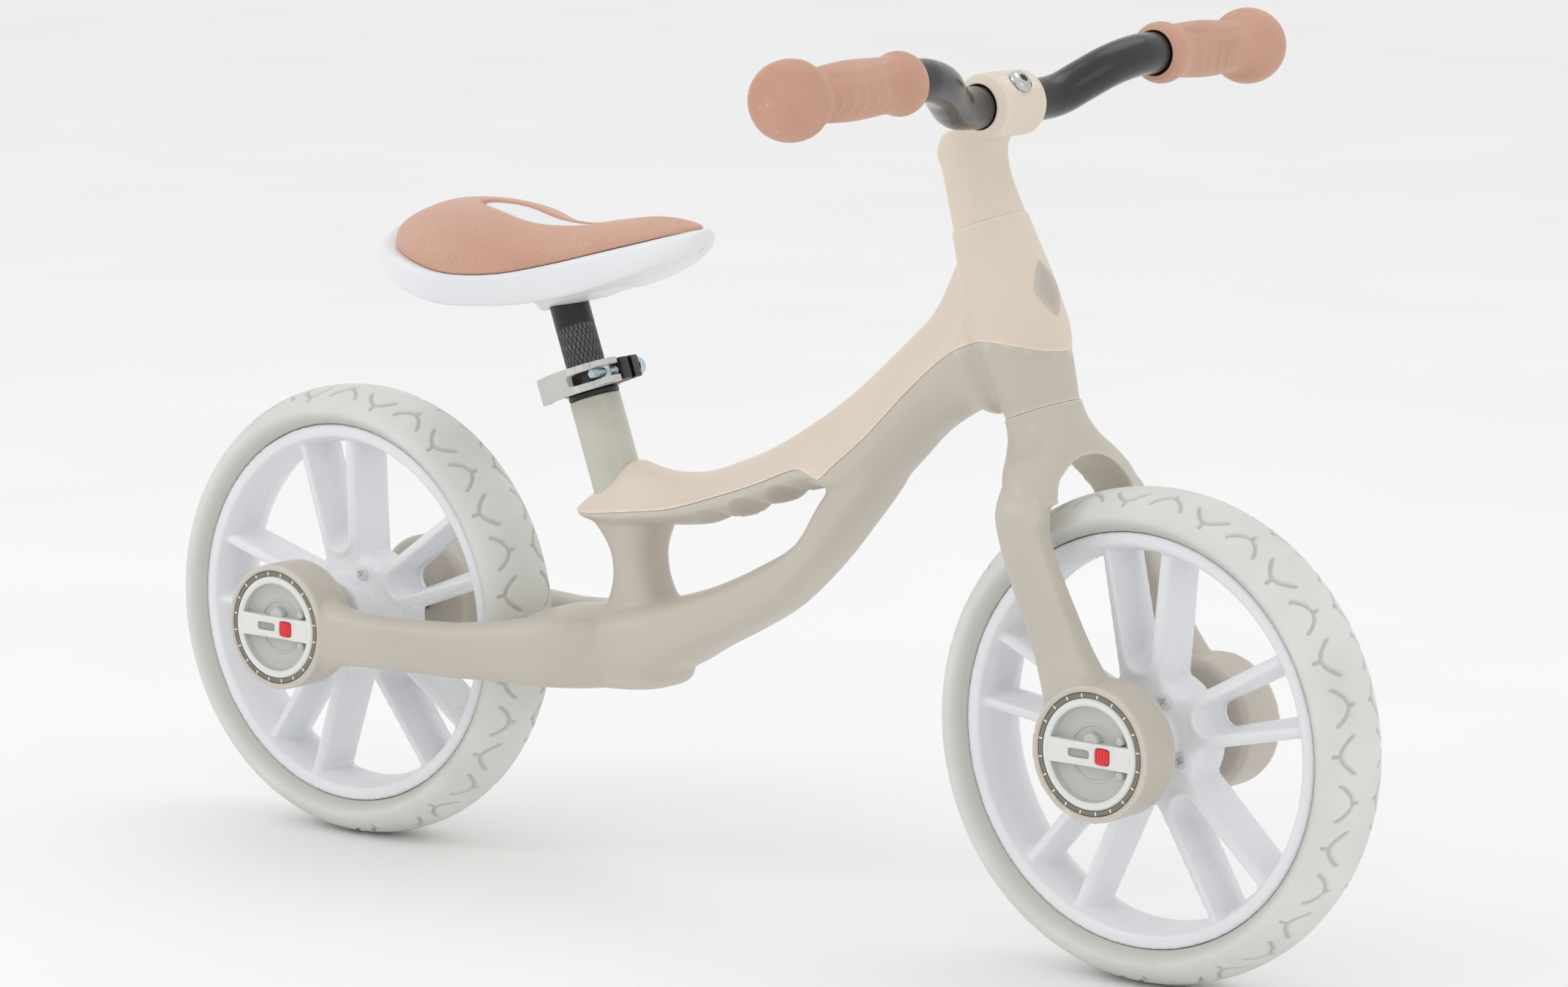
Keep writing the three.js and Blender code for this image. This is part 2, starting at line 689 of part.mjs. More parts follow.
// The left leg: [x, y, z, half forward, half side].
const LEG_SECTIONS = [
  [213, 39, 254, 12, 7],
  [216, 42, 243, 13.8, 9],
  [218, 43.5, 230, 13.5, 9],
  [224.5, 44, 213, 14, 9],
  [234.5, 44.5, 193, 14.5, 9.5],
  [245, 45, 173, 15.5, 10.5],
  [256, 45.5, 153, 20, 12],
  [266, 45.5, 136, 26, 13],
];
const ARCH_HALF_WIDTH = 33;
const ARCH_TOP_Z = 266;

function forkArch() {
  const outline = [];
  const steps = 12;
  for (let i = 0; i <= steps; i += 1) {
    const turn = (Math.PI * i) / steps;
    const rise = ARCH_HALF_WIDTH * 0.75 * Math.sin(turn);
    outline.push(new THREE.Vector2(
      ARCH_HALF_WIDTH * Math.cos(turn),
      ARCH_TOP_Z - ARCH_HALF_WIDTH * 0.75 + rise,
    ));
  }
  outline.push(new THREE.Vector2(-ARCH_HALF_WIDTH, 60), new THREE.Vector2(ARCH_HALF_WIDTH, 60));
  const geometry = new THREE.ExtrudeGeometry(new THREE.Shape(outline), {
    depth: 200,
    bevelEnabled: false,
  });
  geometry.rotateX(Math.PI / 2);
  geometry.rotateZ(Math.PI / 2);
  geometry.translate(150, 0, 0);
  return toSolid(geometry);
}

function forkSolid() {
  const crown = loft(CROWN_SECTIONS.map(([up, forward, halfForward, halfSide]) => {
    const ahead = headPoint(1, 0, 0).sub(headPoint(0, 0, 0));
    return roundedRing(headPoint(forward, 0, up), ahead, Y_AXIS, halfForward, halfSide, 2.4);
  }));
  const leg = loft(LEG_SECTIONS.map(([x, y, z, halfForward, halfSide]) => (
    roundedRing(new THREE.Vector3(x, y, z), X_AXIS, Y_AXIS, halfForward, halfSide, 3)
  )));
  const side = leg.add(shifted(bossSolid(FRONT_BOSS), FRONT_AXLE_X, 0, AXLE_Z));
  const bore = shifted(bossBore(FRONT_BOSS), FRONT_AXLE_X, 0, AXLE_Z);
  const steererSocket = onHead(rod(STEERER_RADIUS + GAP, STEERER_FOOT - GAP, 5));
  return union([crown.subtract(forkArch()), side, mirrored(side)])
    .subtract(steererSocket)
    .subtract(bore)
    .subtract(mirrored(bore));
}

addPart('fork', forkSolid(), taupe);

// ---------------------------------------------------------------- stem and handlebar
// Stem sections in the head tube's frame: [up, forward, half forward, half side].
const STEM_SECTIONS = [
  [HEAD_LENGTH + 0.2, 0, 18.8, 18.8],
  [108, 0, 18.3, 18.3],
  [120, 0.2, 17.4, 17.4],
  [132, 1.6, 17.6, 17.2],
  [141, 4.5, 21.5, 17],
  [149, 11, 22, 17],
];
const PINCH_LEAN = THREE.MathUtils.degToRad(44);

function stemSolid() {
  const ahead = headPoint(1, 0, 0).sub(headPoint(0, 0, 0));
  const neck = loft(STEM_SECTIONS.map(([up, forward, halfForward, halfSide]) => (
    roundedRing(headPoint(forward, 0, up), ahead, Y_AXIS, halfForward, halfSide, 2)
  )));
  const drum = turned([
    [0, -CLAMP_HALF_WIDTH], [CLAMP_RADIUS - 3, -CLAMP_HALF_WIDTH],
    [CLAMP_RADIUS, -CLAMP_HALF_WIDTH + 4], [CLAMP_RADIUS, CLAMP_HALF_WIDTH - 4],
    [CLAMP_RADIUS - 3, CLAMP_HALF_WIDTH], [0, CLAMP_HALF_WIDTH],
  ], WIDE_STEPS);
  const barBore = rod(BAR_RADIUS + GAP, -30, 30, 24);
  return neck
    .add(shifted(drum, BAR_CENTRE.x, 0, BAR_CENTRE.z))
    .subtract(shifted(barBore, BAR_CENTRE.x, 0, BAR_CENTRE.z))
    .subtract(onHead(rod(STEERER_RADIUS + GAP, HEAD_LENGTH - 2, STEERER_TOP + GAP)))
    .subtract(pinchHole());
}

// The pinch bolt runs from the upper front of the clamp down to the bar.
function pinchHole() {
  return onPinch(union([rod(7, 16, 40, 16), rod(3.6, 5, 20, 12)]));
}

function onPinch(solid) {
  return onAxis(solid, -PINCH_LEAN, BAR_CENTRE);
}

function pinchBolt() {
  return onPinch(turned([
    [0, BAR_RADIUS + 1], [3, BAR_RADIUS + 1], [3, 16.3], [6.4, 16.3], [6.4, 17.5],
    [4.6, 19.4], [0, 19.9],
  ], 16));
}

addPart('stem', stemSolid(), cream);
addPart('stem_pinch_bolt', pinchBolt(), steel);

// The left half of the bar from the clamp to its end.
const BAR_POINTS = [
  [0, 0, 0], [0.5, 27, 0], [3.5, 44, 2], [9, 58, 8.5], [15, 71, 15], [18.8, 86, 19],
  [20, 101, 20], [19.4, 150, 18.8], [17.8, 203, 17.3],
];

function handlebarSolid() {
  const left = BAR_POINTS.map(([x, y, z]) => new THREE.Vector3(x, y, z).add(BAR_CENTRE));
  const right = left.slice(1).map((p) => new THREE.Vector3(p.x, -p.y, p.z)).reverse();
  const path = new THREE.CatmullRomCurve3([...right, ...left], false, 'catmullrom', 0.5);
  const steps = 26;
  const rings = [];
  for (let i = 0; i <= steps; i += 1) {
    const point = path.getPointAt(i / steps);
    const along = path.getTangentAt(i / steps);
    const up = new THREE.Vector3().crossVectors(X_AXIS, along).normalize();
    const across = new THREE.Vector3().crossVectors(along, up).normalize();
    rings.push(roundedRing(point, across, up, BAR_RADIUS, BAR_RADIUS, 2));
  }
  return loft(rings);
}

addPart('handlebar', handlebarSolid(), black);

const GRIP_START = new THREE.Vector3(BAR_CENTRE.x + 20, 105, BAR_CENTRE.z + 19.9);
const GRIP_END = new THREE.Vector3(BAR_CENTRE.x + 17.6, 211, BAR_CENTRE.z + 17.1);

// A grip along +Y from its inner flange to its mushroom end, hollow for the bar.
function gripSolid() {
  const length = GRIP_START.distanceTo(GRIP_END);
  const bore = BAR_RADIUS + 1;
  const profile = [
    [bore, 0], [15.2, 0], [16, 2.5], [14.8, 7], [14.6, 26], [15, 50],
    [13.8, 73], [17, 79], [20, 86], [20, 94],
    [17.5, 101], [11, length], [0, length], [0, length - 7], [bore, length - 7], [bore, 0],
  ];
  return turned(profile, ROUND_STEPS);
}

function placedGrip() {
  const along = GRIP_END.clone().sub(GRIP_START).normalize();
  const turn = new THREE.Quaternion().setFromUnitVectors(Y_AXIS, along);
  const matrix = new THREE.Matrix4().compose(GRIP_START, turn, new THREE.Vector3(1, 1, 1));
  return moved(gripSolid(), matrix);
}

addPart('grip_left', placedGrip(), tan);
addPart('grip_right', mirrored(placedGrip()), tan);

// ---------------------------------------------------------------- seat tube and clamp
const POST_TOP = 66;
const POST_BOTTOM = -74;
addPart('seat_tube', onSeat(turned([
  [POST_RADIUS + 1.4, -SEAT_TUBE_LENGTH], [SEAT_TUBE_RADIUS, -SEAT_TUBE_LENGTH],
  [SEAT_TUBE_RADIUS, 0], [POST_RADIUS + 1.4, 0], [POST_RADIUS + 1.4, -SEAT_TUBE_LENGTH],
])), finish(COLOUR.stone, 0.5));

addPart('seat_bushing', onSeat(turned([
  [POST_RADIUS + GAP, -40], [POST_RADIUS + 1.1, -40], [POST_RADIUS + 1.1, GAP],
  [SEAT_TUBE_RADIUS, GAP], [SEAT_TUBE_RADIUS, 3], [POST_RADIUS + GAP, 3],
  [POST_RADIUS + GAP, -40],
])), black);

const BAND_FROM = 3.3;
const BAND_TO = 15.6;
const BAND_MID = (BAND_FROM + BAND_TO) / 2;
const BAND_RADIUS = 16;
const CLAMP_BOLT_FORWARD = 26;
const EAR_HALF_GAP = 1.5;
const EAR_SIDE = 7.5;
const EAR_FRONT = 31;

// The seat clamp is drawn flat, with its own +Y up the tube, then leaned onto it.
function flatPlate(outline, from, to, holes = []) {
  const shape = new THREE.Shape(outline.map(([x, y]) => new THREE.Vector2(x, y)));
  for (const hole of holes) {
    shape.holes.push(new THREE.Path(hole.map(([x, y]) => new THREE.Vector2(x, y))));
  }
  const geometry = new THREE.ExtrudeGeometry(shape, { depth: to - from, bevelEnabled: false });
  geometry.translate(0, 0, from);
  return toSolid(geometry);
}

// Takes a solid drawn with +Z up the seat tube from its top.
function leanedOnSeat(solid) {
  const lean = new THREE.Matrix4().makeRotationY(-SEAT_TILT);
  const place = new THREE.Matrix4().makeTranslation(...SEAT_TUBE_TOP.toArray());
  return moved(solid, place.multiply(lean));
}

function seatClampBand() {
  const ring = sleeve(POST_RADIUS + GAP, BAND_RADIUS, BAND_FROM, BAND_TO, WIDE_STEPS)
    .rotate([90, 0, 0]);
  const ears = block(
    EAR_FRONT - 14, 2 * EAR_SIDE, BAND_TO - BAND_FROM,
    new THREE.Vector3((EAR_FRONT + 14) / 2, 0, BAND_MID),
  );
  const split = block(30, 2 * EAR_HALF_GAP, 40, new THREE.Vector3(26, 0, BAND_MID));
  const hole = shifted(rod(2.8, -40, 40, 12), CLAMP_BOLT_FORWARD, 0, BAND_MID);
  const bore = rod(POST_RADIUS + GAP, BAND_FROM - 5, BAND_TO + 5, WIDE_STEPS).rotate([90, 0, 0]);
  return leanedOnSeat(ring.add(ears.subtract(bore)).subtract(split).subtract(hole));
}

// The lever's route round the tube as an arc: its middle line and its thickness.
const LEVER_PIVOT = [CLAMP_BOLT_FORWARD, -16];
const CAM_RADIUS = 7.5;
const LEVER_ARC_RADIUS = 21.5;
const LEVER_THICKNESS = 4.4;

function clampLever() {
  const inner = [];
  const outer = [];
  const steps = 12;
  for (let i = 0; i <= steps; i += 1) {
    const along = i / steps;
    const turn = THREE.MathUtils.degToRad(-34 - 104 * along);
    const swell = 1.5 * Math.max(0, along - 0.5);
    const r = LEVER_ARC_RADIUS + 7 * (1 - along) ** 2 + 1.5 * along;
    inner.push([r * Math.cos(turn), r * Math.sin(turn)]);
    const outerR = r + LEVER_THICKNESS + swell;
    outer.push([outerR * Math.cos(turn), outerR * Math.sin(turn)]);
  }
  const blade = flatPlate([...inner, ...outer.reverse()], BAND_MID - 7, BAND_MID + 7);
  const cam = rod(CAM_RADIUS, BAND_MID - 6.4, BAND_MID + 6.4).rotate([90, 0, 0]);
  const slot = block(30, 60, 6.4, new THREE.Vector3(CLAMP_BOLT_FORWARD - 3, -25, BAND_MID));
  const pin = rod(3 + GAP, BAND_MID - 20, BAND_MID + 20, 12).rotate([90, 0, 0]);
  return leanedOnSeat(
    blade
      .add(shifted(cam, LEVER_PIVOT[0], LEVER_PIVOT[1], 0))
      .subtract(slot)
      .subtract(shifted(pin, LEVER_PIVOT[0], LEVER_PIVOT[1], 0)),
  );
}

function clampBarrel() {
  const pin = rod(3, BAND_MID - 6, BAND_MID + 6, 12).rotate([90, 0, 0]);
  const bolt = shifted(rod(2.3 + GAP, -40, 40, 12), CLAMP_BOLT_FORWARD, 0, BAND_MID);
  return leanedOnSeat(shifted(pin, LEVER_PIVOT[0], LEVER_PIVOT[1], 0).subtract(bolt));
}

function clampBolt() {
  return leanedOnSeat(shifted(rod(2.3, -28, 12.4, 12), CLAMP_BOLT_FORWARD, 0, BAND_MID));
}

function clampNut() {
  const nut = turned([
    [2.6, 7.8], [5.2, 7.8], [5.2, 11.4], [3.6, 12.6], [2.6, 12.6], [2.6, 7.8],
  ]);
  return leanedOnSeat(shifted(nut, CLAMP_BOLT_FORWARD, 0, BAND_MID));
}

addPart('seat_clamp_band', seatClampBand(), black);
addPart('seat_clamp_lever', clampLever(), finish(COLOUR.lever, 0.5));
addPart('seat_clamp_barrel', clampBarrel(), zinc);
addPart('seat_clamp_bolt', clampBolt(), zinc);
addPart('seat_clamp_nut', clampNut(), zinc);
addPart('seat_post', onSeat(turned([
  [0, POST_BOTTOM], [POST_RADIUS - 1, POST_BOTTOM], [POST_RADIUS, POST_BOTTOM + 1],
  [POST_RADIUS, POST_TOP], [0, POST_TOP],
])), black);

// ---------------------------------------------------------------- saddle
// Sections of the saddle from tail to nose: [x, half width, lower edge z, rim z, crown z].
const SADDLE_SECTIONS = [
  [-221, 24, 345, 352, 358],
  [-215, 44, 335.5, 346.5, 361],
  [-203, 59, 328.5, 342, 364.5],
  [-183, 66, 321, 337, 365.5],
  [-160, 62, 315, 331.8, 363.8],
  [-135, 48, 314.5, 332, 358.5],
  [-110, 33.5, 318.5, 337.6, 358],
  [-85, 25.5, 326, 344.6, 361.5],
  [-60, 21, 335, 351.4, 365.8],
  [-40, 16.5, 343, 356.8, 366.5],
  [-26, 10.5, 350, 359.5, 364.5],
];
const SHELL_THICKNESS = 2.4;
const SKIRT_DRAFT = 4;
const PAD_MARGIN = 3;

// The keel that closes the nose from below: [x, half width, upper z, lower z].
const KEEL_SECTIONS = [
  [-120, 31, 319.5, 313],
  [-108, 27.5, 322, 315.5],
  [-92, 22.5, 327, 321],
  [-68, 17.5, 335, 327.5],
  [-53, 15, 341, 333],
  [-37, 11, 347.5, 341],
  [-29, 7.5, 351, 346.7],
];

// The outside of the saddle's shell: a skirt that leans in towards its lower edge.
function shellRing([x, halfWidth, lower, rim], inset, drop, middle) {
  const across = (w, z) => new THREE.Vector3(middle + (x - middle) * (1 - inset / 95), w, z);
  const half = halfWidth - inset;
  const top = rim - inset;
  const bottom = lower - drop;
  const side = [[half - SKIRT_DRAFT, bottom], [half - 1, (bottom + top) / 2], [half, top - 2]];
  const crown = [[half - 1.5, top], [half * 0.5, top + 1.5]];
  const left = [...side, ...crown];
  return [
    ...left.map(([w, z]) => across(w, z)),
    ...left.map(([w, z]) => across(-w, z)).reverse(),
  ];
}

const SADDLE_MIDDLE = -118;
const SOCKET_TOP = 60;

function saddleBase() {
  const outer = loft(SADDLE_SECTIONS.map((s) => shellRing(s, 0, 0, SADDLE_MIDDLE)));
  const hollow = loft(SADDLE_SECTIONS.map((s) => shellRing(s, SHELL_THICKNESS, 12, SADDLE_MIDDLE)));
  const socket = onSeat(turned([
    [0, 53], [16, 53], [17.5, 55.5], [17.5, SOCKET_TOP + 30], [0, SOCKET_TOP + 30],
  ], 24));
  const postHole = onSeat(rod(POST_RADIUS + GAP, 30, POST_TOP + GAP));
  return union([outer.subtract(hollow), saddleKeel(), socket.intersect(outer.add(lowSocket()))])
    .subtract(postHole);
}

function saddleKeel() {
  return loft(KEEL_SECTIONS.map(([x, halfWidth, upper, lower]) => roundedRing(
    new THREE.Vector3(x, 0, (upper + lower) / 2), Y_AXIS, Z_AXIS, halfWidth, (upper - lower) / 2,
  )));
}

// The part of the socket that hangs below the skirt.
function lowSocket() {
  return onSeat(rod(17.5, 50, SOCKET_TOP + 8, 24));
}

function padRing([x, halfWidth, , rim, crown]) {
  const half = Math.max(halfWidth - PAD_MARGIN, 4);
  const along = SADDLE_MIDDLE + (x - SADDLE_MIDDLE) * 0.965;
  const floor = rim + 2;
  const edge = floor + 2.5;
  const left = [[half - 2, floor], [half, edge], [half * 0.8, crown - 3], [half * 0.4, crown]];
  return [
    ...left.map(([w, z]) => new THREE.Vector3(along, w, z)),
    ...left.map(([w, z]) => new THREE.Vector3(along, -w, z)).reverse(),
  ];
}

// The relief channel through the middle of the pad.
function padChannel() {
  const outline = [];
  const steps = 16;
  for (let i = 0; i < steps; i += 1) {
    const turn = (2 * Math.PI * i) / steps;
    const taper = 1 - 0.55 * (Math.cos(turn) * 0.5 + 0.5);
    outline.push([-128 + 44 * Math.cos(turn), 13 * Math.sin(turn) * taper]);
  }
  return flatPlate(outline, 300, 420);
}

function saddlePad() {
  return loft(SADDLE_SECTIONS.map(padRing)).subtract(padChannel());
}

addPart('saddle_base', saddleBase(), white);
addPart('saddle_pad', saddlePad(), tan);

export default bike;
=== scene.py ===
"""The looks of a toddler's balance bike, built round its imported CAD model.

The tables and sizes are in millimetres, in the CAD's frame: +X forward, +Y the rider's left, +Z up.
"""

import math

import bmesh
import bpy
import numpy as np
from mathutils import Matrix, Vector


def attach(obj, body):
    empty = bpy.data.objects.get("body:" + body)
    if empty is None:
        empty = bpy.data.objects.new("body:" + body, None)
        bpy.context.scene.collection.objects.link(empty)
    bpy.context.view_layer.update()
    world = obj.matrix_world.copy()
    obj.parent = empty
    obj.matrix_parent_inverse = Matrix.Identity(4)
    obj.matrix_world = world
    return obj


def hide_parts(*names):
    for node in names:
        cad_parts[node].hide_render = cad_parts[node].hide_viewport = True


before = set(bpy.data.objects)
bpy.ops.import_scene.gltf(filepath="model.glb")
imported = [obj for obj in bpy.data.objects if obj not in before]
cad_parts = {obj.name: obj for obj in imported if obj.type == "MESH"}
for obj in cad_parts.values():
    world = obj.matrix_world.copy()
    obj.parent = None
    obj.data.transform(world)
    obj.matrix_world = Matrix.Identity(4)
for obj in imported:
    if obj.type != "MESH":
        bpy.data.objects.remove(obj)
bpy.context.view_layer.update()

MM = 0.001
X, Y, Z = np.eye(3)

AXLE_Z = 127
AXLE_X = {"front": 271, "rear": -271}
BOSS_RADIUS = 35
BOSS = {"front": (31, 60), "rear": (47, 75)}
HOLDER = {"front": "steering", "rear": "frame"}
CUP_RADIUS, CUP_DEPTH = 31.5, 13
WHEEL_RADIUS = 127
HEAD_FOOT, HEAD_TILT, HEAD_LENGTH = (197.3, 0, 286.3), math.radians(20.5), 99.6
SEAT_TOP, SEAT_TILT, SEAT_TUBE_DEPTH = (-102, 0, 263.5), math.radians(20.2), 78
BAR_CENTRE = np.array([169, 0, 440.5])
AXLE_HOLE_RADIUS = 4.3


# ---------------------------------------------------------------- mesh helpers
def spline(rows, per=4):
    """A table's rows with smooth steps between each pair."""
    p = np.array(rows, float)
    p = np.vstack([2 * p[0] - p[1], p, 2 * p[-1] - p[-2]])
    out = []
    for a, b, c, d in zip(p, p[1:], p[2:], p[3:]):
        for t in np.arange(per) / per:
            cubic = (3 * b - a - 3 * c + d) * t**3
            square = (2 * a - 5 * b + 4 * c - d) * t**2
            out.append(0.5 * (2 * b + (c - a) * t + square + cubic))
    out.append(p[-2])
    return np.array(out)


def closed_spline(points, per=4):
    """A closed outline with smooth steps between its points."""
    p = np.array(points, float)
    wrapped = np.vstack([p[-1:], p, p[:2]])
    return spline(wrapped, per)[per : per * (len(p) + 1)]


def oval(centre, across, up, half_across, half_up, power=2.0, steps=48):
    """A ring of points: an ellipse at power 2, squarer above it."""
    turn = 2 * np.pi * (np.arange(steps) + 0.5) / steps
    c, s = np.cos(turn), np.sin(turn)
    a = np.sign(c) * np.abs(c) ** (2 / power) * half_across
    b = np.sign(s) * np.abs(s) ** (2 / power) * half_up
    return np.array(centre, float) + np.outer(a, across) + np.outer(b, up)


def linked(name, data):
    """A new object in the scene."""
    obj = bpy.data.objects.new(name, data)
    bpy.context.scene.collection.objects.link(obj)
    return obj


def make(name, points, faces):
    """A mesh object from points in millimetres, its doubles merged and its faces turned outwards."""
    mesh = bpy.data.meshes.new(name)
    mesh.from_pydata((np.asarray(points, float) * MM).tolist(), [], faces)
    work = bmesh.new()
    work.from_mesh(mesh)
    bmesh.ops.remove_doubles(work, verts=work.verts, dist=1e-6)
    bmesh.ops.recalc_face_normals(work, faces=work.faces)
    work.to_mesh(mesh)
    work.free()
    return linked(name, mesh)


def grid_faces(rows, columns, wrap_rows=False, wrap_columns=True):
    faces = []
    for r in range(rows if wrap_rows else rows - 1):
        for c in range(columns if wrap_columns else columns - 1):
            r2, c2 = (r + 1) % rows, (c + 1) % columns
            faces.append((r * columns + c, r * columns + c2, r2 * columns + c2, r2 * columns + c))
    return faces


def loft(name, rings):
    """A closed skin over rings of points, with flat ends."""
    rings = np.array(rings)
    rows, columns, _ = rings.shape
    faces = grid_faces(rows, columns)
    faces += [tuple(range(columns)), tuple((rows - 1) * columns + c for c in range(columns))]
    return make(name, rings.reshape(-1, 3), faces)


def turned(name, profile, steps=96, closed=False):
    """A lathe shape about the Y axis from (radius, y) pairs; a closed profile makes a ring."""
    profile = np.array(profile, float)
    turn = 2 * np.pi * np.arange(steps) / steps
    r, y = profile[:, 0], profile[:, 1]
    points = np.stack(
        [np.outer(np.cos(turn), r), np.tile(y, (steps, 1)), np.outer(np.sin(turn), r)], axis=-1
    )
    faces = grid_faces(steps, len(profile), wrap_rows=True, wrap_columns=closed)
    return make(name, points.reshape(-1, 3), faces)


def rod(name, radius, start, end, bevel=0.0, steps=64):
    profile = [
        (0, start), (radius - bevel, start), (radius, start + bevel),
        (radius, end - bevel), (radius - bevel, end), (0, end),
    ]
    return turned(name, profile, steps)


def sleeve(name, inner, outer, start, end, bevel=0.4, steps=64):
    profile = [
        (inner, start), (outer - bevel, start), (outer, start + bevel),
        (outer, end - bevel), (outer - bevel, end), (inner, end),
    ]
    return turned(name, profile, steps, closed=True)


def plate(name, outline, start, end, axis=2, bevel=0.0):
    """A flat outline pushed along one axis, with its edges bevelled."""
    other = [i for i in range(3) if i != axis]
    rings = []
    for level in (start, end):
        ring = np.zeros((len(outline), 3))
        ring[:, other] = outline
        ring[:, axis] = level
        rings.append(ring)
    obj = loft(name, rings)
    return bevelled(obj, bevel) if bevel else obj


def at(x, y, z):
    """The move to a place in millimetres."""
    return Matrix.Translation(Vector((x, y, z)) * MM)


def block(name, size, centre, bevel=0.0):
    half = np.array(size) / 2
    outline = [(-half[0], -half[1]), (half[0], -half[1]), (half[0], half[1]), (-half[0], half[1])]
    obj = plate(name, outline, -half[2], half[2], bevel=bevel)
    return moved(obj, at(*centre))


def moved(obj, matrix):
    obj.data.transform(matrix)
    if matrix.determinant() < 0:
        obj.data.flip_normals()
    return obj


def duplicate(obj):
    return linked(obj.name, obj.data.copy())


def both_sides(obj):
    return [obj, moved(duplicate(obj), MIRROR)]


def mark(obj, name, values):
    """Stores one number at each vertex for a material to read."""
    numbers = obj.data.attributes.new(name, "FLOAT", "POINT")
    numbers.data.foreach_set("value", values.ravel())


def settle(obj):
    """Applies a piece's modifiers."""
    graph = bpy.context.evaluated_depsgraph_get()
    graph.update()
    mesh = bpy.data.meshes.new_from_object(obj.evaluated_get(graph))
    obj.modifiers.clear()
    obj.data = mesh
    return obj


def bevelled(obj, width, segments=2, angle=35):
    edge = obj.modifiers.new("edge", "BEVEL")
    edge.width = width * MM
    edge.segments = segments
    edge.angle_limit = math.radians(angle)
    return settle(obj)


def combine(target, other, operation):
    merge = target.modifiers.new("merge", "BOOLEAN")
    merge.solver = "MANIFOLD"
    merge.operation = operation
    merge.object = other
    settle(target)
    bpy.data.objects.remove(other)
    return target


def cut(target, *others):
    for other in others:
        combine(target, other, "DIFFERENCE")
    return target


def joined(name, objects):
    """One object that holds the meshes of several."""
    work = bmesh.new()
    for obj in objects:
        work.from_mesh(obj.data)
        bpy.data.objects.remove(obj)
    mesh = bpy.data.meshes.new(name)
    work.to_mesh(mesh)
    work.free()
    return linked(name, mesh)


def fused(name, objects, voxel, rounds, thin=1.0):
    """One smooth skin round overlapping solids, with a fillet wherever they meet."""
    obj = joined(name, objects)
    remesh = obj.modifiers.new("remesh", "REMESH")
    remesh.mode = "VOXEL"
    remesh.voxel_size = voxel * MM
    relax = obj.modifiers.new("relax", "SMOOTH")
    relax.factor = 0.5
    relax.iterations = rounds
    if thin < 1:
        fewer = obj.modifiers.new("fewer", "DECIMATE")
        fewer.ratio = thin
    return settle(obj)


def shade(obj, angle=40):
    """Smooth shading that keeps edges sharper than an angle."""
    work = bmesh.new()
    work.from_mesh(obj.data)
    for face in work.faces:
        face.smooth = True
    for edge in work.edges:
        edge.smooth = len(edge.link_faces) == 2 and edge.calc_face_angle() < math.radians(angle)
    work.to_mesh(obj.data)
    work.free()
    return obj


def finish(obj, body, material, slot, *nodes, angle=40):
    """Gives a piece its shading and material, its body and the CAD nodes that it stands for."""
    shade(obj, angle)
    if material:
        obj.data.materials.clear()
        obj.data.materials.append(material)
        obj.data.polygons.foreach_set("material_index", [0] * len(obj.data.polygons))
    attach(obj, body)
    if nodes:
        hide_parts(*nodes)
    return obj


def leaning(foot, tilt):
    """The frame of a tube that leans back, with +Z up the tube."""
    return at(*foot) @ Matrix.Rotation(-tilt, 4, "Y")


Y_TO_Z = Matrix.Rotation(math.pi / 2, 4, "X")
HEAD = leaning(HEAD_FOOT, HEAD_TILT)
SEAT = leaning(SEAT_TOP, SEAT_TILT)
ON_HEAD = HEAD @ Y_TO_Z
ON_SEAT = SEAT @ Y_TO_Z
MIRROR = Matrix.Scale(-1, 4, (0, 1, 0))
SIDES = {"left": Matrix.Identity(4), "right": MIRROR}


def head_point(forward, side, up):
    return np.array(HEAD @ (Vector((forward, side, up)) * MM)) / MM


def at_axle(end):
    return at(AXLE_X[end], 0, AXLE_Z)


def head_loft(name, sections, power=2.0):
    """A skin over ovals square to the head tube, from rows of (up, forward, half length, half width)."""
    ahead = head_point(1, 0, 0) - head_point(0, 0, 0)
    return loft(name, [
        oval(head_point(forward, 0, up), ahead, Y, half_forward, half_side, power)
        for up, forward, half_forward, half_side in spline(sections, 4)
    ])


# ---------------------------------------------------------------- materials
def linear(colour):
    """Linear values of an sRGB hex colour."""
    parts = [int(colour[i : i + 2], 16) / 255 for i in (0, 2, 4)]
    return [c / 12.92 if c <= 0.04045 else ((c + 0.055) / 1.055) ** 2.4 for c in parts] + [1]


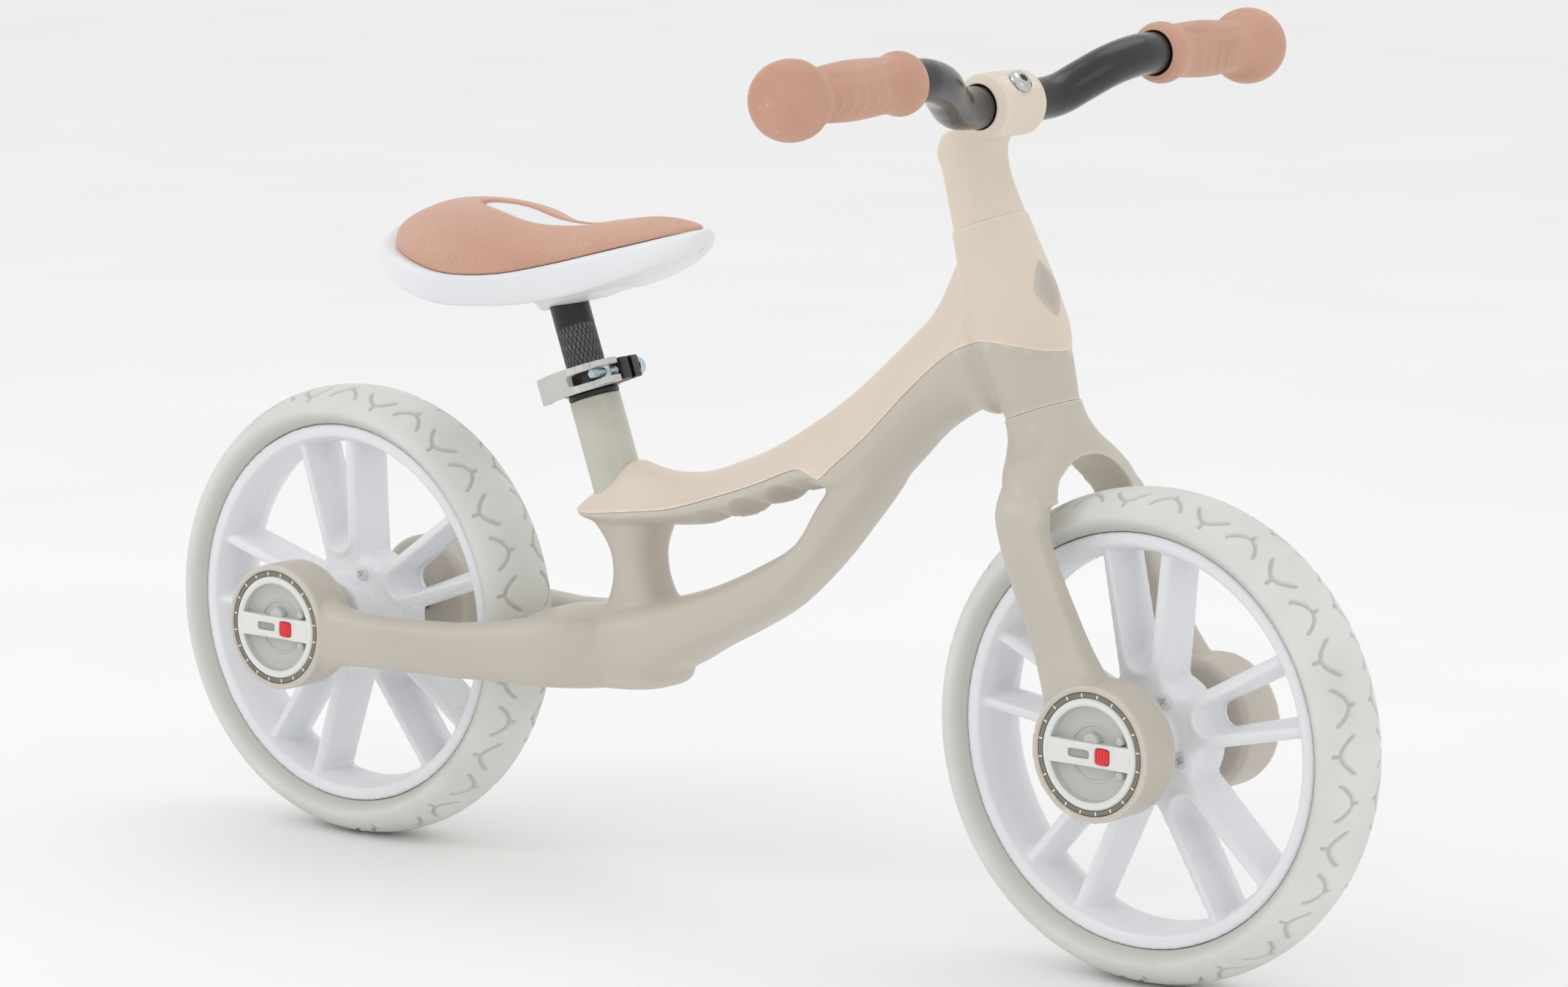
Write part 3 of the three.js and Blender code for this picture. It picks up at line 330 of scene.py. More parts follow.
class Nodes:
    """A material's node tree with short calls for the nodes used here."""

    def __init__(self, name):
        self.material = bpy.data.materials.new(name)
        self.material.use_nodes = True
        self.tree = self.material.node_tree
        self.shader = self.tree.nodes["Principled BSDF"]
        self.place = self.tree.nodes.new("ShaderNodeTexCoord").outputs["Object"]

    def add(self, kind, **values):
        node = self.tree.nodes.new(kind)
        for key, value in values.items():
            setattr(node, key, value)
        return node

    def link(self, source, target):
        self.tree.links.new(source, target)

    def noise(self, scale, detail=3.0, stretch=None):
        node = self.add("ShaderNodeTexNoise")
        node.inputs["Scale"].default_value = scale
        node.inputs["Detail"].default_value = detail
        place = self.place
        if stretch:
            mapping = self.add("ShaderNodeMapping")
            mapping.inputs["Scale"].default_value = stretch
            self.link(self.place, mapping.inputs["Vector"])
            place = mapping.outputs["Vector"]
        self.link(place, node.inputs["Vector"])
        return node.outputs["Fac"]

    def spread(self, source, low, high, from_low=0.3, from_high=0.7):
        node = self.add("ShaderNodeMapRange")
        for key, value in (
            ("From Min", from_low), ("From Max", from_high), ("To Min", low), ("To Max", high),
        ):
            node.inputs[key].default_value = value
        self.link(source, node.inputs["Value"])
        return node.outputs["Result"]

    def cloud(self, scale, detail, low=0, high=1):
        """Noise that wanders between two values."""
        return self.spread(self.noise(scale, detail), low, high)

    def worn(self, low, high):
        """0 on flat surfaces and 1 on edges, between two values of pointiness."""
        geometry = self.add("ShaderNodeNewGeometry")
        return self.spread(geometry.outputs["Pointiness"], 0, 1, low, high)

    def marks(self, name):
        """The numbers that a mesh holds at its vertices under a name."""
        return self.add("ShaderNodeAttribute", attribute_name=name).outputs["Fac"]

    def mix(self, factor, first, second):
        """Between two colours, each a hex string or another node's output."""
        node = self.add("ShaderNodeMix", data_type="RGBA")
        self.link(factor, node.inputs["Factor"])
        for socket, value in ((node.inputs["A"], first), (node.inputs["B"], second)):
            if isinstance(value, str):
                socket.default_value = linear(value)
            else:
                self.link(value, socket)
        return node.outputs["Result"]

    def bump(self, height, strength, distance, below=None):
        node = self.add("ShaderNodeBump")
        node.inputs["Strength"].default_value = strength
        node.inputs["Distance"].default_value = distance * MM
        self.link(height, node.inputs["Height"])
        if below is not None:
            self.link(below, node.inputs["Normal"])
        return node.outputs["Normal"]

    def set(self, **values):
        for key, value in values.items():
            socket = self.shader.inputs[key.replace("_", " ")]
            if hasattr(value, "links"):
                self.link(value, socket)
            else:
                socket.default_value = value
        return self.material


def moulded(name, colour, dark, light, roughness=0.45, grain=0.12, worn=0.505):
    """Moulded plastic: slow colour drift, edges a little lighter, and a fine spark-eroded grain."""
    n = Nodes(name)
    base = n.mix(n.cloud(14, 2), dark, colour)
    skin = n.mix(n.worn(worn, worn + 0.055), base, light)
    rough = n.cloud(60, 4, roughness - 0.06, roughness + 0.06)
    fine = n.bump(n.noise(2600, 2), grain, 0.05)
    wavy = n.bump(n.noise(55, 2), 0.06, 0.4, fine)
    return n.set(Base_Color=skin, Roughness=rough, Normal=wavy)


def metal(name, colour, dark, roughness, metallic=1.0, scratches=0.06):
    """Bare or plated metal with fine turning marks and faint stains."""
    n = Nodes(name)
    base = n.mix(n.cloud(90, 4), dark, colour)
    rough = n.cloud(400, 3, roughness - 0.07, roughness + 0.07)
    marks = n.bump(n.noise(900, 2, stretch=(1, 0.15, 1)), scratches, 0.05)
    return n.set(Base_Color=base, Roughness=rough, Metallic=metallic, Normal=marks)


def painted(name, colour, dark, roughness, coat=0.4):
    """Powder-coated or lacquered metal with a faint orange-peel surface."""
    n = Nodes(name)
    base = n.mix(n.cloud(40, 3), dark, colour)
    rough = n.cloud(150, 3, roughness - 0.05, roughness + 0.05)
    peel = n.bump(n.noise(700, 2), 0.05, 0.08)
    return n.set(
        Base_Color=base, Roughness=rough, Normal=peel, Coat_Weight=coat, Coat_Roughness=0.12
    )


def knurled_paint():
    """Black paint that has worn to grey on the knurl's points."""
    n = Nodes("post_paint")
    base = n.mix(n.cloud(40, 3), "101111", "181919")
    skin = n.mix(n.spread(n.marks("knurl"), 0, 1, 0.35, 0.95), base, "7b7c7b")
    rough = n.cloud(150, 3, 0.25, 0.35)
    peel = n.bump(n.noise(700, 2), 0.05, 0.08)
    return n.set(Base_Color=skin, Roughness=rough, Normal=peel)


def tyre_rubber():
    """Pale foam rubber, with painted shade in its grooves and a band of painted shade on the sidewall next
    to the rim.
    """
    n = Nodes("tyre_rubber")
    drift = n.mix(n.cloud(18, 4), "d5d6d1", "e2e3df")
    # Painted shade: the grooves darken towards b9b8b1 with their depth.
    skin = n.mix(n.spread(n.marks("groove"), 0, 0.75, 0.1, 0.9), drift, "b9b8b1")
    # Painted shade: the sidewall next to the rim darkens towards cbcac4.
    shaded = n.mix(n.spread(n.marks("sidewall"), 0, 1, 0, 1), skin, "cbcac4")
    rough = n.cloud(120, 4, 0.55, 0.72)
    pores = n.bump(n.noise(1500, 3), 0.16, 0.08)
    return n.set(Base_Color=shaded, Roughness=rough, Normal=pores)


def soft_rubber():
    """The grips' soft tan rubber."""
    n = Nodes("grip_rubber")
    base = n.mix(n.cloud(30, 4), "c2927b", "cd9f89")
    skin = n.mix(n.worn(0.51, 0.6), base, "dcb29c")
    rough = n.cloud(200, 3, 0.5, 0.62)
    pores = n.bump(n.noise(2200, 3), 0.14, 0.06)
    return n.set(
        Base_Color=skin, Roughness=rough, Normal=pores, Sheen_Weight=0.15, Sheen_Roughness=0.4
    )


def pad_leather():
    """Artificial leather with a fine cell grain."""
    n = Nodes("pad_leather")
    base = n.mix(n.cloud(22, 5), "cd9f88", "d9ad96")
    cells = n.add("ShaderNodeTexVoronoi", feature="DISTANCE_TO_EDGE")
    cells.inputs["Scale"].default_value = 900
    n.link(n.place, cells.inputs["Vector"])
    edge = cells.outputs["Distance"]
    skin = n.mix(n.spread(edge, 0, 1, 0.0, 0.12), "c29480", base)
    rough = n.cloud(260, 4, 0.48, 0.62)
    grain = n.bump(edge, 0.22, 0.12)
    wrinkle = n.bump(n.noise(420, 5), 0.12, 0.15, grain)
    return n.set(
        Base_Color=skin, Roughness=rough, Normal=wrinkle, Sheen_Weight=0.2, Sheen_Roughness=0.5
    )


TAUPE = moulded("taupe_plastic", "c9c1b5", "c2baae", "d8d1c6", roughness=0.38)
CREAM = moulded("cream_plastic", "e3d5c5", "decfbe", "efe5d8", roughness=0.38)
WHITE = moulded("white_plastic", "eff0f3", "e9ebef", "f6f7f9", roughness=0.3, grain=0.05, worn=0.6)
SHELL = moulded("saddle_plastic", "eff0f2", "e8eaee", "f8f8fa", roughness=0.32, grain=0.08, worn=0.6)
# A darker copy of the knob's plastic: painted shade for the knob's dish.
DISH_SHADE = moulded("dish_shade_plastic", "adb0ac", "a3a6a2", "c3c5c1", roughness=0.42, grain=0.06)
KNOB = moulded("knob_plastic", "d0d1cd", "c6c7c3", "e6e7e3", roughness=0.38, grain=0.06)
RING = moulded("ring_plastic", "5b574e", "514d45", "7e7a6f", roughness=0.42)
TICK = moulded("tick_paint", "e7e7e2", "dcdcd6", "f6f6f2", roughness=0.5)
SLOT_GREY = moulded("slot_plastic", "9c9d98", "92938e", "abaca8", roughness=0.45)
RED = moulded("red_plastic", "d9141f", "c5101b", "ee3a42", roughness=0.28, grain=0.05)
BLACK = moulded("black_plastic", "1c1d1d", "161717", "2c2d2d", roughness=0.38)
LEVER = moulded("lever_plastic", "c3c1bc", "b9b7b2", "d6d4d0", roughness=0.4)
BADGE = moulded("badge_plastic", "bdb6ab", "b4ada2", "cbc5bb", roughness=0.4)
BAR_PAINT = painted("bar_paint", "161717", "101111", 0.26, coat=0.4)
CLAMP_PAINT = painted("clamp_paint", "1c1d1d", "141515", 0.34)
TUBE_PAINT = painted("tube_paint", "c9c7bb", "c1bfb3", 0.36, coat=0.3)
STEEL = metal("bare_steel", "b9babb", "9fa1a3", 0.3)
BEARING = metal("bearing_steel", "b3b5b7", "96989b", 0.25)
SCREW = metal("screw_steel", "e6e7e8", "d6d7d9", 0.35, metallic=0.2)
CHROME = metal("bolt_chrome", "cfd0d1", "b5b6b7", 0.14, scratches=0.02)
ZINC = metal("plated_zinc", "c5d6df", "a4b8c4", 0.26)
POST_PAINT = knurled_paint()
TYRE = tyre_rubber()
GRIP = soft_rubber()
LEATHER = pad_leather()


# ---------------------------------------------------------------- tyres
TREAD_REPEATS = 16
TREAD_STEPS = 50
TREAD_PITCH = 2 * math.pi * 122 / TREAD_REPEATS
GROOVE_MIDDLE = 14.0
GROOVE_SWING = 3.6
GROOVE_HALF_LENGTH = 9.0
STEM_LENGTH = 3.2
GROOVE_WIDTH = 1.0
GROOVE_DEPTH = 1.2
LIP_PLACE, LIP_WIDTH, LIP_HEIGHT = 2.2, 0.6, 0.12
# SIDEWALL_RADIUS is where the painted shade on the sidewall starts, darkening towards the rim.
TREAD_EDGE_RADIUS, SIDEWALL_RADIUS = 112, 112.5
TYRE_PROFILE = [
    (106.7, 17.5), (109.5, 21.6), (113.5, 25), (117.3, 24.0), (120.5, 21), (123.4, 16.3),
    (125.5, 11), (126.7, 5.2), (127, 0),
]
BEAD_PROFILE = [(106.7, 14.3), (103, 14.3), (103, -14.3), (106.7, -14.3)]


def groove_lines():
    """The tread's two bent grooves in one repeat, as points (along, off the crown)."""
    lines = []
    for k, way in ((0, 1), (1, -1)):
        middle = TREAD_PITCH * (0.25 + 0.5 * k)
        for s in np.linspace(-1, 1, 25):
            bend = GROOVE_SWING * (1 - 2 * s * s)
            lines.append((middle + GROOVE_HALF_LENGTH * s, GROOVE_MIDDLE + way * bend))
        for s in np.linspace(0, STEM_LENGTH, 6):
            lines.append((middle, GROOVE_MIDDLE + way * (GROOVE_SWING + s)))
    return np.array(lines)


def groove_distance(along, off):
    """How far each point of one repeat is from the nearest groove."""
    far = np.full((len(along), len(off)), 1e3)
    for shift in (-TREAD_PITCH, 0, TREAD_PITCH):
        for u, v in groove_lines():
            far = np.minimum(far, np.hypot(along[:, None] + shift - u, off[None, :] - v))
    return far


def tyre_mesh():
    """The tyre's section turned round its axle, with grooves and their soft lips in the tread."""
    outer = spline(TYRE_PROFILE, 5)
    section = np.vstack([outer * (1, -1), outer[-2::-1], BEAD_PROFILE])
    radius, wide = section.T
    along = TREAD_PITCH * np.arange(TREAD_STEPS) / TREAD_STEPS
    far = groove_distance(along, np.abs(wide))
    on_tread = (radius > TREAD_EDGE_RADIUS)[None, :]
    depth = np.clip(1.5 - far / GROOVE_WIDTH, 0, 1) * on_tread
    depth = depth * depth * (3 - 2 * depth)
    lip = np.exp(-(((far - LIP_PLACE) / LIP_WIDTH) ** 2)) * on_tread * LIP_HEIGHT
    reach = np.tile(radius[None, :] - GROOVE_DEPTH * depth + lip, (TREAD_REPEATS, 1))
    steps = TREAD_REPEATS * TREAD_STEPS
    turn = (2 * np.pi * np.arange(steps) / steps)[:, None]
    points = np.stack([np.cos(turn) * reach, np.tile(wide, (steps, 1)), np.sin(turn) * reach], -1)
    obj = make("tyre", points.reshape(-1, 3), grid_faces(steps, len(section), wrap_rows=True))
    # The groove depth also tells the tyre's material where to paint shade in the grooves.
    mark(obj, "groove", np.tile(depth, (TREAD_REPEATS, 1)))
    # The sidewall mark tells the tyre's material where to paint shade next to the rim.
    mark(obj, "sidewall", np.tile(np.clip((SIDEWALL_RADIUS - radius) / 4, 0, 1), (steps, 1)))
    return obj


# ---------------------------------------------------------------- wheels
SPOKE_PAIRS = 5
SPOKE_START = {"front": 21, "rear": 28}
RIM_RADIUS, RIM_HALF_WIDTH, BARREL_RADIUS = 106.4, 18.5, 95.5
SPOKE_FACE = 14
HUB_RADIUS, HUB_FACE, HUB_REACH = 21, 13, 27
HUB_DISC_RADIUS, HUB_BORE_RADIUS = 33.5, 5.5
BEARING_SEAT_RADIUS, BEARING_SEAT_DEPTH = 11.3, 7.3
SCREW_CIRCLE = 26
# Rows of the trough between two spokes: y, its tip's radius, half width at the tip and at the rim.
TROUGH_LEVELS = [(16, 33.4, 8.6, 17), (13, 35, 7.8, 16), (4, 40, 6.6, 12.6), (1.5, 41, 6.2, 12)]


def spoke_outline(tip, half_tip, half_rim, reach, steps=12):
    """A U that opens towards the rim, as (out, across) points."""
    turn = np.pi * np.arange(steps + 1) / steps
    bend = [(tip + half_tip * (1 - math.sin(t)), -half_tip * math.cos(t)) for t in turn]
    return [(reach, -half_rim), *bend, (reach, half_rim)]


def outline_ring(outline, y):
    return np.array([(x, y, z) for x, z in outline])


def spoke_pair():
    """Two spokes round a dished trough with a slot in its floor."""
    leg = loft("leg", [
        outline_ring(spoke_outline(22, 13.5 + d, 22 + d, 98), y)
        for y, d in ((-SPOKE_FACE, -1), (-SPOKE_FACE + 3, 0.2), (0, 0.8),
                     (SPOKE_FACE - 3, 0.2), (SPOKE_FACE, -1))
    ])
    levels = TROUGH_LEVELS + [(-y, *rest) for y, *rest in reversed(TROUGH_LEVELS)]
    hollow = loft("hollow", [
        outline_ring(spoke_outline(tip, half_tip, half_rim, 100), y)
        for y, tip, half_tip, half_rim in levels
    ])
    cut(leg, hollow)
    ridge = np.array(spoke_outline(33.6, 9.2, 17.6, 97, 20))
    beads = []
    for side in (-1, 1):
        level = np.full(len(ridge), side * (SPOKE_FACE - 0.4))
        beads.append(swept("bead", np.column_stack([ridge[:, 0], level, ridge[:, 1]]), 1.9, 12))
    return [leg, *beads]


def swept(name, path, radius, steps=24):
    """A round tube along a path."""
    along = np.gradient(path, axis=0)
    along /= np.linalg.norm(along, axis=1)[:, None]
    guide = X if abs(along[:, 0]).max() < 0.95 else Y
    rings = []
    for point, ahead in zip(path, along):
        up = np.cross(guide, ahead)
        up /= np.linalg.norm(up)
        rings.append(oval(point, np.cross(ahead, up), up, radius, radius, steps=steps))
    return loft(name, rings)


def wheel_turn(pairs):
    """The turn from the first spoke pair to a later place round the wheel."""
    return Matrix.Rotation(-2 * math.pi * pairs / SPOKE_PAIRS, 4, "Y")


def screw_place(k):
    return wheel_turn(k + 0.5) @ Matrix.Translation((SCREW_CIRCLE * MM, 0, 0))


def rim_mesh():
    half = [(RIM_RADIUS, 14.9), (RIM_RADIUS, RIM_HALF_WIDTH - 0.6), (RIM_RADIUS - 0.8, RIM_HALF_WIDTH),
            (100.2, RIM_HALF_WIDTH), (99.4, RIM_HALF_WIDTH - 0.8), (97, 12), (BARREL_RADIUS, 6)]
    ring = turned("ring", [*half, *[(r, -y) for r, y in reversed(half)], (102.6, -14.5), (102.6, 14.5)],
                  160, closed=True)
    disc = turned("disc", [
        (0, -HUB_REACH), (HUB_RADIUS - 1.5, -HUB_REACH), (HUB_RADIUS, -HUB_REACH + 1.5),
        (HUB_RADIUS + 1, -HUB_FACE - 2), (HUB_DISC_RADIUS, -HUB_FACE), (HUB_DISC_RADIUS, HUB_FACE),
        (HUB_RADIUS + 1, HUB_FACE + 2), (HUB_RADIUS, HUB_REACH - 1.5),
        (HUB_RADIUS - 1.5, HUB_REACH), (0, HUB_REACH),
    ], 96)
    parts = [ring, disc]
    for k in range(SPOKE_PAIRS):
        parts += [moved(piece, wheel_turn(k)) for piece in spoke_pair()]
        screw_boss = rod("boss", 5.6, -HUB_FACE - 2, HUB_FACE + 2, 0.8, 32)
        parts.append(moved(screw_boss, screw_place(k)))
    wheel = fused("rim", parts, 1.35, 2)
    seat_floor = HUB_REACH - BEARING_SEAT_DEPTH
    seats = [rod("seat", BEARING_SEAT_RADIUS, *span) for span in ((seat_floor, 30), (-30, -seat_floor))]
    return cut(wheel, rod("bore", HUB_BORE_RADIUS, -40, 40), *seats)


def hub_screws_mesh():
    """Five small cross-head screws on each face of a hub."""
    heads = []
    for k in range(SPOKE_PAIRS):
        for flip in SIDES.values():
            head = turned("head", [
                (0, 13.5), (4.2, 13.5), (4.2, 15.6), (3.5, 16.4), (0, 16.7)], 32)
            cross = [block("cross", size, (0, 16.6, 0)) for size in ((4.2, 1.8, 0.9), (0.9, 1.8, 4.2))]
            heads.append(moved(cut(head, *cross), screw_place(k) @ flip))
    return joined("hub_screws", heads)


def add_wheels():
    patterns = {"tyre": tyre_mesh(), "rim": rim_mesh(), "screws": hub_screws_mesh()}
    for end, angle in SPOKE_START.items():
        place = at_axle(end) @ Matrix.Rotation(-math.radians(angle), 4, "Y")
        body = f"{end}_wheel"
        for key, name, material, slot, nodes in (
            ("tyre", f"tyre_skin_{end}", TYRE, "tyre", [f"tyre_{end}"]),
            ("rim", f"rim_moulding_{end}", WHITE, "rim", [f"wheel_rim_{end}", f"wheel_spokes_{end}"]),
            ("screws", f"hub_screws_{end}", SCREW, "bearing_steel", []),
        ):
            obj = moved(linked(name, patterns[key].data.copy()), place)
            finish(obj, body, material, slot, *nodes, angle=50)
    for obj in patterns.values():
        bpy.data.objects.remove(obj)


# ---------------------------------------------------------------- frame
# Rows of the beam: x and z of its ridge, lean in degrees, drops to its lip and belly, half width.
BEAM_SECTIONS = [
    (-107, 206.5, 0, 3, 8, 8), (-102, 209.5, 0, 5.5, 11, 15.5), (-93, 216, 0, 11.5, 18, 21),
    (-82, 225, 0, 19.5, 28, 23), (-71, 231.5, 0, 25, 35, 23.5), (-57, 229, 0, 20.5, 29.5, 24),
    (-42, 228, 2, 17, 26.3, 24), (-20, 231, 8, 14.4, 26.3, 24), (0, 238, 12, 14.8, 28, 24),
    (20, 246.3, 16, 15.6, 28, 24), (40, 257.2, 22, 18.5, 30, 24), (51, 264, 27, 23.3, 33, 24),
    (60.3, 269.8, 34, 30.5, 50, 24), (81, 285, 38, 28.3, 48, 23.5), (101.4, 302.7, 41, 26.7, 46, 23),
    (119.1, 318.6, 43, 26, 50, 22.5), (128, 327, 40, 26.5, 54, 22), (135, 337, 37, 27, 64, 21),
    (139.5, 346, 58, 24, 36, 20), (144, 356, 72, 20, 28, 17), (148.5, 368, 84, 18, 24, 15),
]
HALF_SECTION = [(0, 1), (0.45, 1), (0.93, 0.45), (1, 0), (0.84, -0.2), (0.46, -0.76), (0.16, -1)]
LIP_LINE = [
    (-140, 203), (-95, 204), (-72, 206.6), (-51, 209.6), (-33, 212.5), (-17, 217), (1, 223),
    (17, 228.5), (32.7, 234.4), (48, 241), (57, 243.5), (64, 242.4), (69, 240), (73, 241),
    (80, 247.8), (99.8, 264.2), (124.9, 289.1), (144.9, 307.2), (157.3, 315.6), (170, 320.6),
    (182, 322), (194, 321.2), (206, 318.8), (218, 316.6), (250, 314),
]
HEAD_PROFILE = [
    (19.4, 0.4), (20, 5), (21.2, 14), (22, 21), (22.9, 28), (24.3, 35), (24.5, 44),
    (23.7, 62), (21.7, 80), (19.6, 98), (19.2, HEAD_LENGTH - 0.3),
]
# Rows of the lower tube: x, z, slope in degrees, half height, half width.
TUBE_SECTIONS = [
    (104, 258, 48, 8, 19), (90, 241, 48, 12, 21), (71, 217.4, 45, 12, 21), (54, 195.3, 40, 10, 21),
    (28, 175.3, 34, 13.7, 21), (3, 161.5, 28, 15, 22), (-20, 151, 22, 16.5, 24), (-45, 140, 12, 20, 27),
    (-72, 133, 5, 21.5, 32), (-100, 130, 2, 20, 37), (-128, 128.5, 0, 17.5, 42),
]
# Rows of the pillar: z, x, half length, half width.
PILLAR_SECTIONS = [
    (140, -67, 24, 22), (157, -67, 18.5, 17), (170, -68.5, 14, 15), (184, -70.5, 14, 15.5),
    (196, -73, 20, 18), (207, -76, 27, 21.5),
]
# Rows of a rear arm: x, y, half height, half width.
ARM_SECTIONS = [
    (-62, 8, 17, 14), (-98, 29, 21, 16), (-130, 43, 16.8, 13), (-160, 52.5, 14.8, 11.5),
    (-195, 59.5, 14.4, 11), (-225, 62.5, 15.5, 11), (-248, 62.5, 22, 11.5), (-268, 61.5, 30, 12.5),
]
# Rows of the foot rest: x, z, half height, half width.
FOOTREST_SECTIONS = [
    (-41, 121, 4, 10), (-47, 119, 7.5, 19), (-60, 118, 8.5, 27), (-80, 117, 8, 31),
    (-105, 116, 7, 33), (-130, 117, 5, 38),
]
BELLY_FLAT_Z = 110.5
FINGERS, FINGER_RADIUS, FINGER_PITCH, FINGER_SLOPE = 3, 13, 26, math.radians(21)
FINGER_X, FINGER_Z = -4, 201.6
REAR_ROOM_RADIUS, REAR_ROOM_HALF_WIDTH, ROOM_CHAMFER = WHEEL_RADIUS + 9, 34, 12
HEAD_BORE_RADIUS = 15.5
SEAT_BORE_RADIUS, COVER_BORE_RADIUS = 14.3, 14.2
POST_ROOM_RADIUS, POST_ROOM_DEPTH = 11.3, 100
SEAM = 0.1
VOXEL = 1.3


def beam(grow=0.0):
    rings = []
    for x, z, lean, lip_drop, belly_drop, half_width in spline(BEAM_SECTIONS, 3):
        angle = math.radians(lean)
        down = np.array([math.sin(angle), 0, -math.cos(angle)])
        lip = np.array([x, 0, z]) + down * lip_drop
        width, tent, belly = half_width + grow, lip_drop + grow, belly_drop - lip_drop
        half = [(w * width, d * (belly if d > 0 else tent)) for w, d in HALF_SECTION]
        loop = half[1:] + [(-w, d) for w, d in reversed(half[1:])]
        smooth = closed_spline(loop, 4)
        rings.append([lip + down * d + Y * w for w, d in smooth])
    return loft("beam", rings)


def head_tube(grow=0.0):
    profile = [(r + grow, h) for r, h in spline(HEAD_PROFILE, 4)]
    low, high = (HEAD_PROFILE[0][0] + grow, -5), (HEAD_PROFILE[-1][0] + grow, HEAD_LENGTH + 5)
    return moved(turned("head", [(0, -5), low, *profile, high, (0, HEAD_LENGTH + 5)]), ON_HEAD)


def head_slab(level, side):
    """A cutter for one side of a level on the head tube's axis: 1 above it, -1 below it."""
    return moved(block("slab", (80, 80, 20), (0, 0, level + 10 * side)), HEAD)


def down_tube():
    rings = []
    for x, z, slope, half_up, half_across in spline(TUBE_SECTIONS, 3):
        angle = math.radians(slope)
        up = np.array([-math.sin(angle), 0, math.cos(angle)])
        rings.append(oval((x, 0, z), Y, up, half_across, half_up, 2.8))
    return loft("tube", rings)


def pillar():
    return loft("pillar", [
        oval((x, 0, z), X, Y, half_length, half_width, 2.6)
        for z, x, half_length, half_width in spline(PILLAR_SECTIONS, 3)
    ])


def foot_rest():
    return loft("footrest", [
        oval((x, 0, z), Y, Z, half_across, half_up, 3)
        for x, z, half_up, half_across in spline(FOOTREST_SECTIONS, 3)
    ])


def rear_arm():
    rows = spline(ARM_SECTIONS, 4)
    along = np.gradient(rows[:, :2], axis=0)
    rings = []
    for (x, y, half_up, half_across), (dx, dy) in zip(rows, along):
        across = np.array([-dy, dx, 0]) / math.hypot(dx, dy)
        centre = (x, y, AXLE_Z - 2 + 5 * max(0, (x + 160) / 94))
        rings.append(oval(centre, across, Z, half_across, half_up, 3))
    return loft("arm", rings)


def boss(end):
    inner, outer = BOSS[end]
    drum = turned("boss", [
        (0, inner), (BOSS_RADIUS - 3, inner), (BOSS_RADIUS, inner + 3),
        (BOSS_RADIUS, outer), (0, outer)])
    return moved(drum, at_axle(end))


def boss_trims(end):
    """Cutters for a boss: its flat face, the knob's cup and the axle's hole."""
    inner, outer = BOSS[end]
    cutters = [
        block("face", (120, 30, 120), (0, outer + 15, 0)),
        turned("cup", [(0, outer - CUP_DEPTH), (CUP_RADIUS, outer - CUP_DEPTH),
                       (CUP_RADIUS, outer - 0.8), (CUP_RADIUS + 1.4, outer + 0.6), (0, outer + 0.6)]),
        rod("hole", AXLE_HOLE_RADIUS, inner - 5, outer),
    ]
    left = [moved(c, at_axle(end)) for c in cutters]
    right = [moved(duplicate(c), MIRROR) for c in left]
    return left + right


def lip_slab(gap):
    """Everything above the seam between the cover and the body."""
    line = spline([(x, z + gap) for x, z in LIP_LINE], 4)
    return plate("slab", [*line.tolist(), (250, 480), (-140, 480)], -60, 60, axis=1)


def rear_wheel_room():
    """The space that the frame leaves free round the rear wheel."""
    half = REAR_ROOM_HALF_WIDTH
    room = rod("room", REAR_ROOM_RADIUS, -half, half, ROOM_CHAMFER, 96)
    return moved(room, at_axle("rear"))


def finger_hollows():
    rods = []
    for k in range(FINGERS):
        reach = FINGER_PITCH * k
        x = FINGER_X + reach * math.cos(FINGER_SLOPE)
        z = FINGER_Z + reach * math.sin(FINGER_SLOPE)
        rods.append(moved(rod("finger", FINGER_RADIUS, -30, 30), at(x, 0, z)))
    return rods


def seat_bore(radius=SEAT_BORE_RADIUS, depth=SEAT_TUBE_DEPTH):
    return moved(rod("bore", radius, -depth, 10), ON_SEAT)


def head_bore():
    return moved(rod("bore", HEAD_BORE_RADIUS, -5, HEAD_LENGTH + 5), ON_HEAD)


def add_frame_body():
    shape = fused("shape", [beam(0.3), head_tube(0.2)], VOXEL, 12)
    cut(shape, *finger_hollows())
    lower = fused("lower", [shape, down_tube(), pillar(), foot_rest()], VOXEL, 2)
    cut(lower, rear_wheel_room())
    arms = both_sides(rear_arm()) + both_sides(boss("rear"))
    body = fused("frame_moulding", [lower, *arms], VOXEL, 7, thin=0.5)
    flat = block("flat", (200, 120, 40), (-80, 0, BELLY_FLAT_Z - 20))
    cut(body, flat, lip_slab(-SEAM), *boss_trims("rear"), head_bore(), head_slab(SEAM, -1))
    cut(body, seat_bore(), seat_bore(POST_ROOM_RADIUS, POST_ROOM_DEPTH))
    finish(body, "frame", TAUPE, "frame_body", "frame_body")


def add_frame_cover():
    cover = fused("cover_moulding", [beam(0.7), head_tube(0.6)], 1.1, 20, thin=0.6)
    combine(cover, lip_slab(SEAM), "INTERSECT")
    cut(cover, seat_bore(COVER_BORE_RADIUS), head_bore(), head_slab(HEAD_LENGTH - SEAM, 1))
    finish(cover, "frame", CREAM, "cover", "frame_cover")


# ---------------------------------------------------------------- fork
CROWN_SECTIONS = [
    (5, 0, 19.4, 19.4), (-1, 0, 19.3, 19.3), (-9, 0, 19.5, 21), (-18, 0, 20, 28), (-27, 1, 19.5, 39),
    (-37, 3, 18, 47), (-50, 6, 15, 50),
]
# Rows of a fork leg: x, y, z, half length, half width.
LEG_SECTIONS = [
    (211, 33, 262, 9, 5), (216, 42, 243, 13.8, 9), (218, 43.5, 230, 13.5, 9),
    (224.5, 44, 213, 14, 9), (234.5, 44.5, 193, 14.5, 9.5), (245, 45, 173, 15.5, 10.5),
    (256, 45.5, 153, 20, 12), (266, 45.5, 136, 26, 13),
]
ARCH_HALF_WIDTH, ARCH_TOP_Z = 33, 266
STEERER_RADIUS, STEERER_DEPTH = 11.4, 16.3


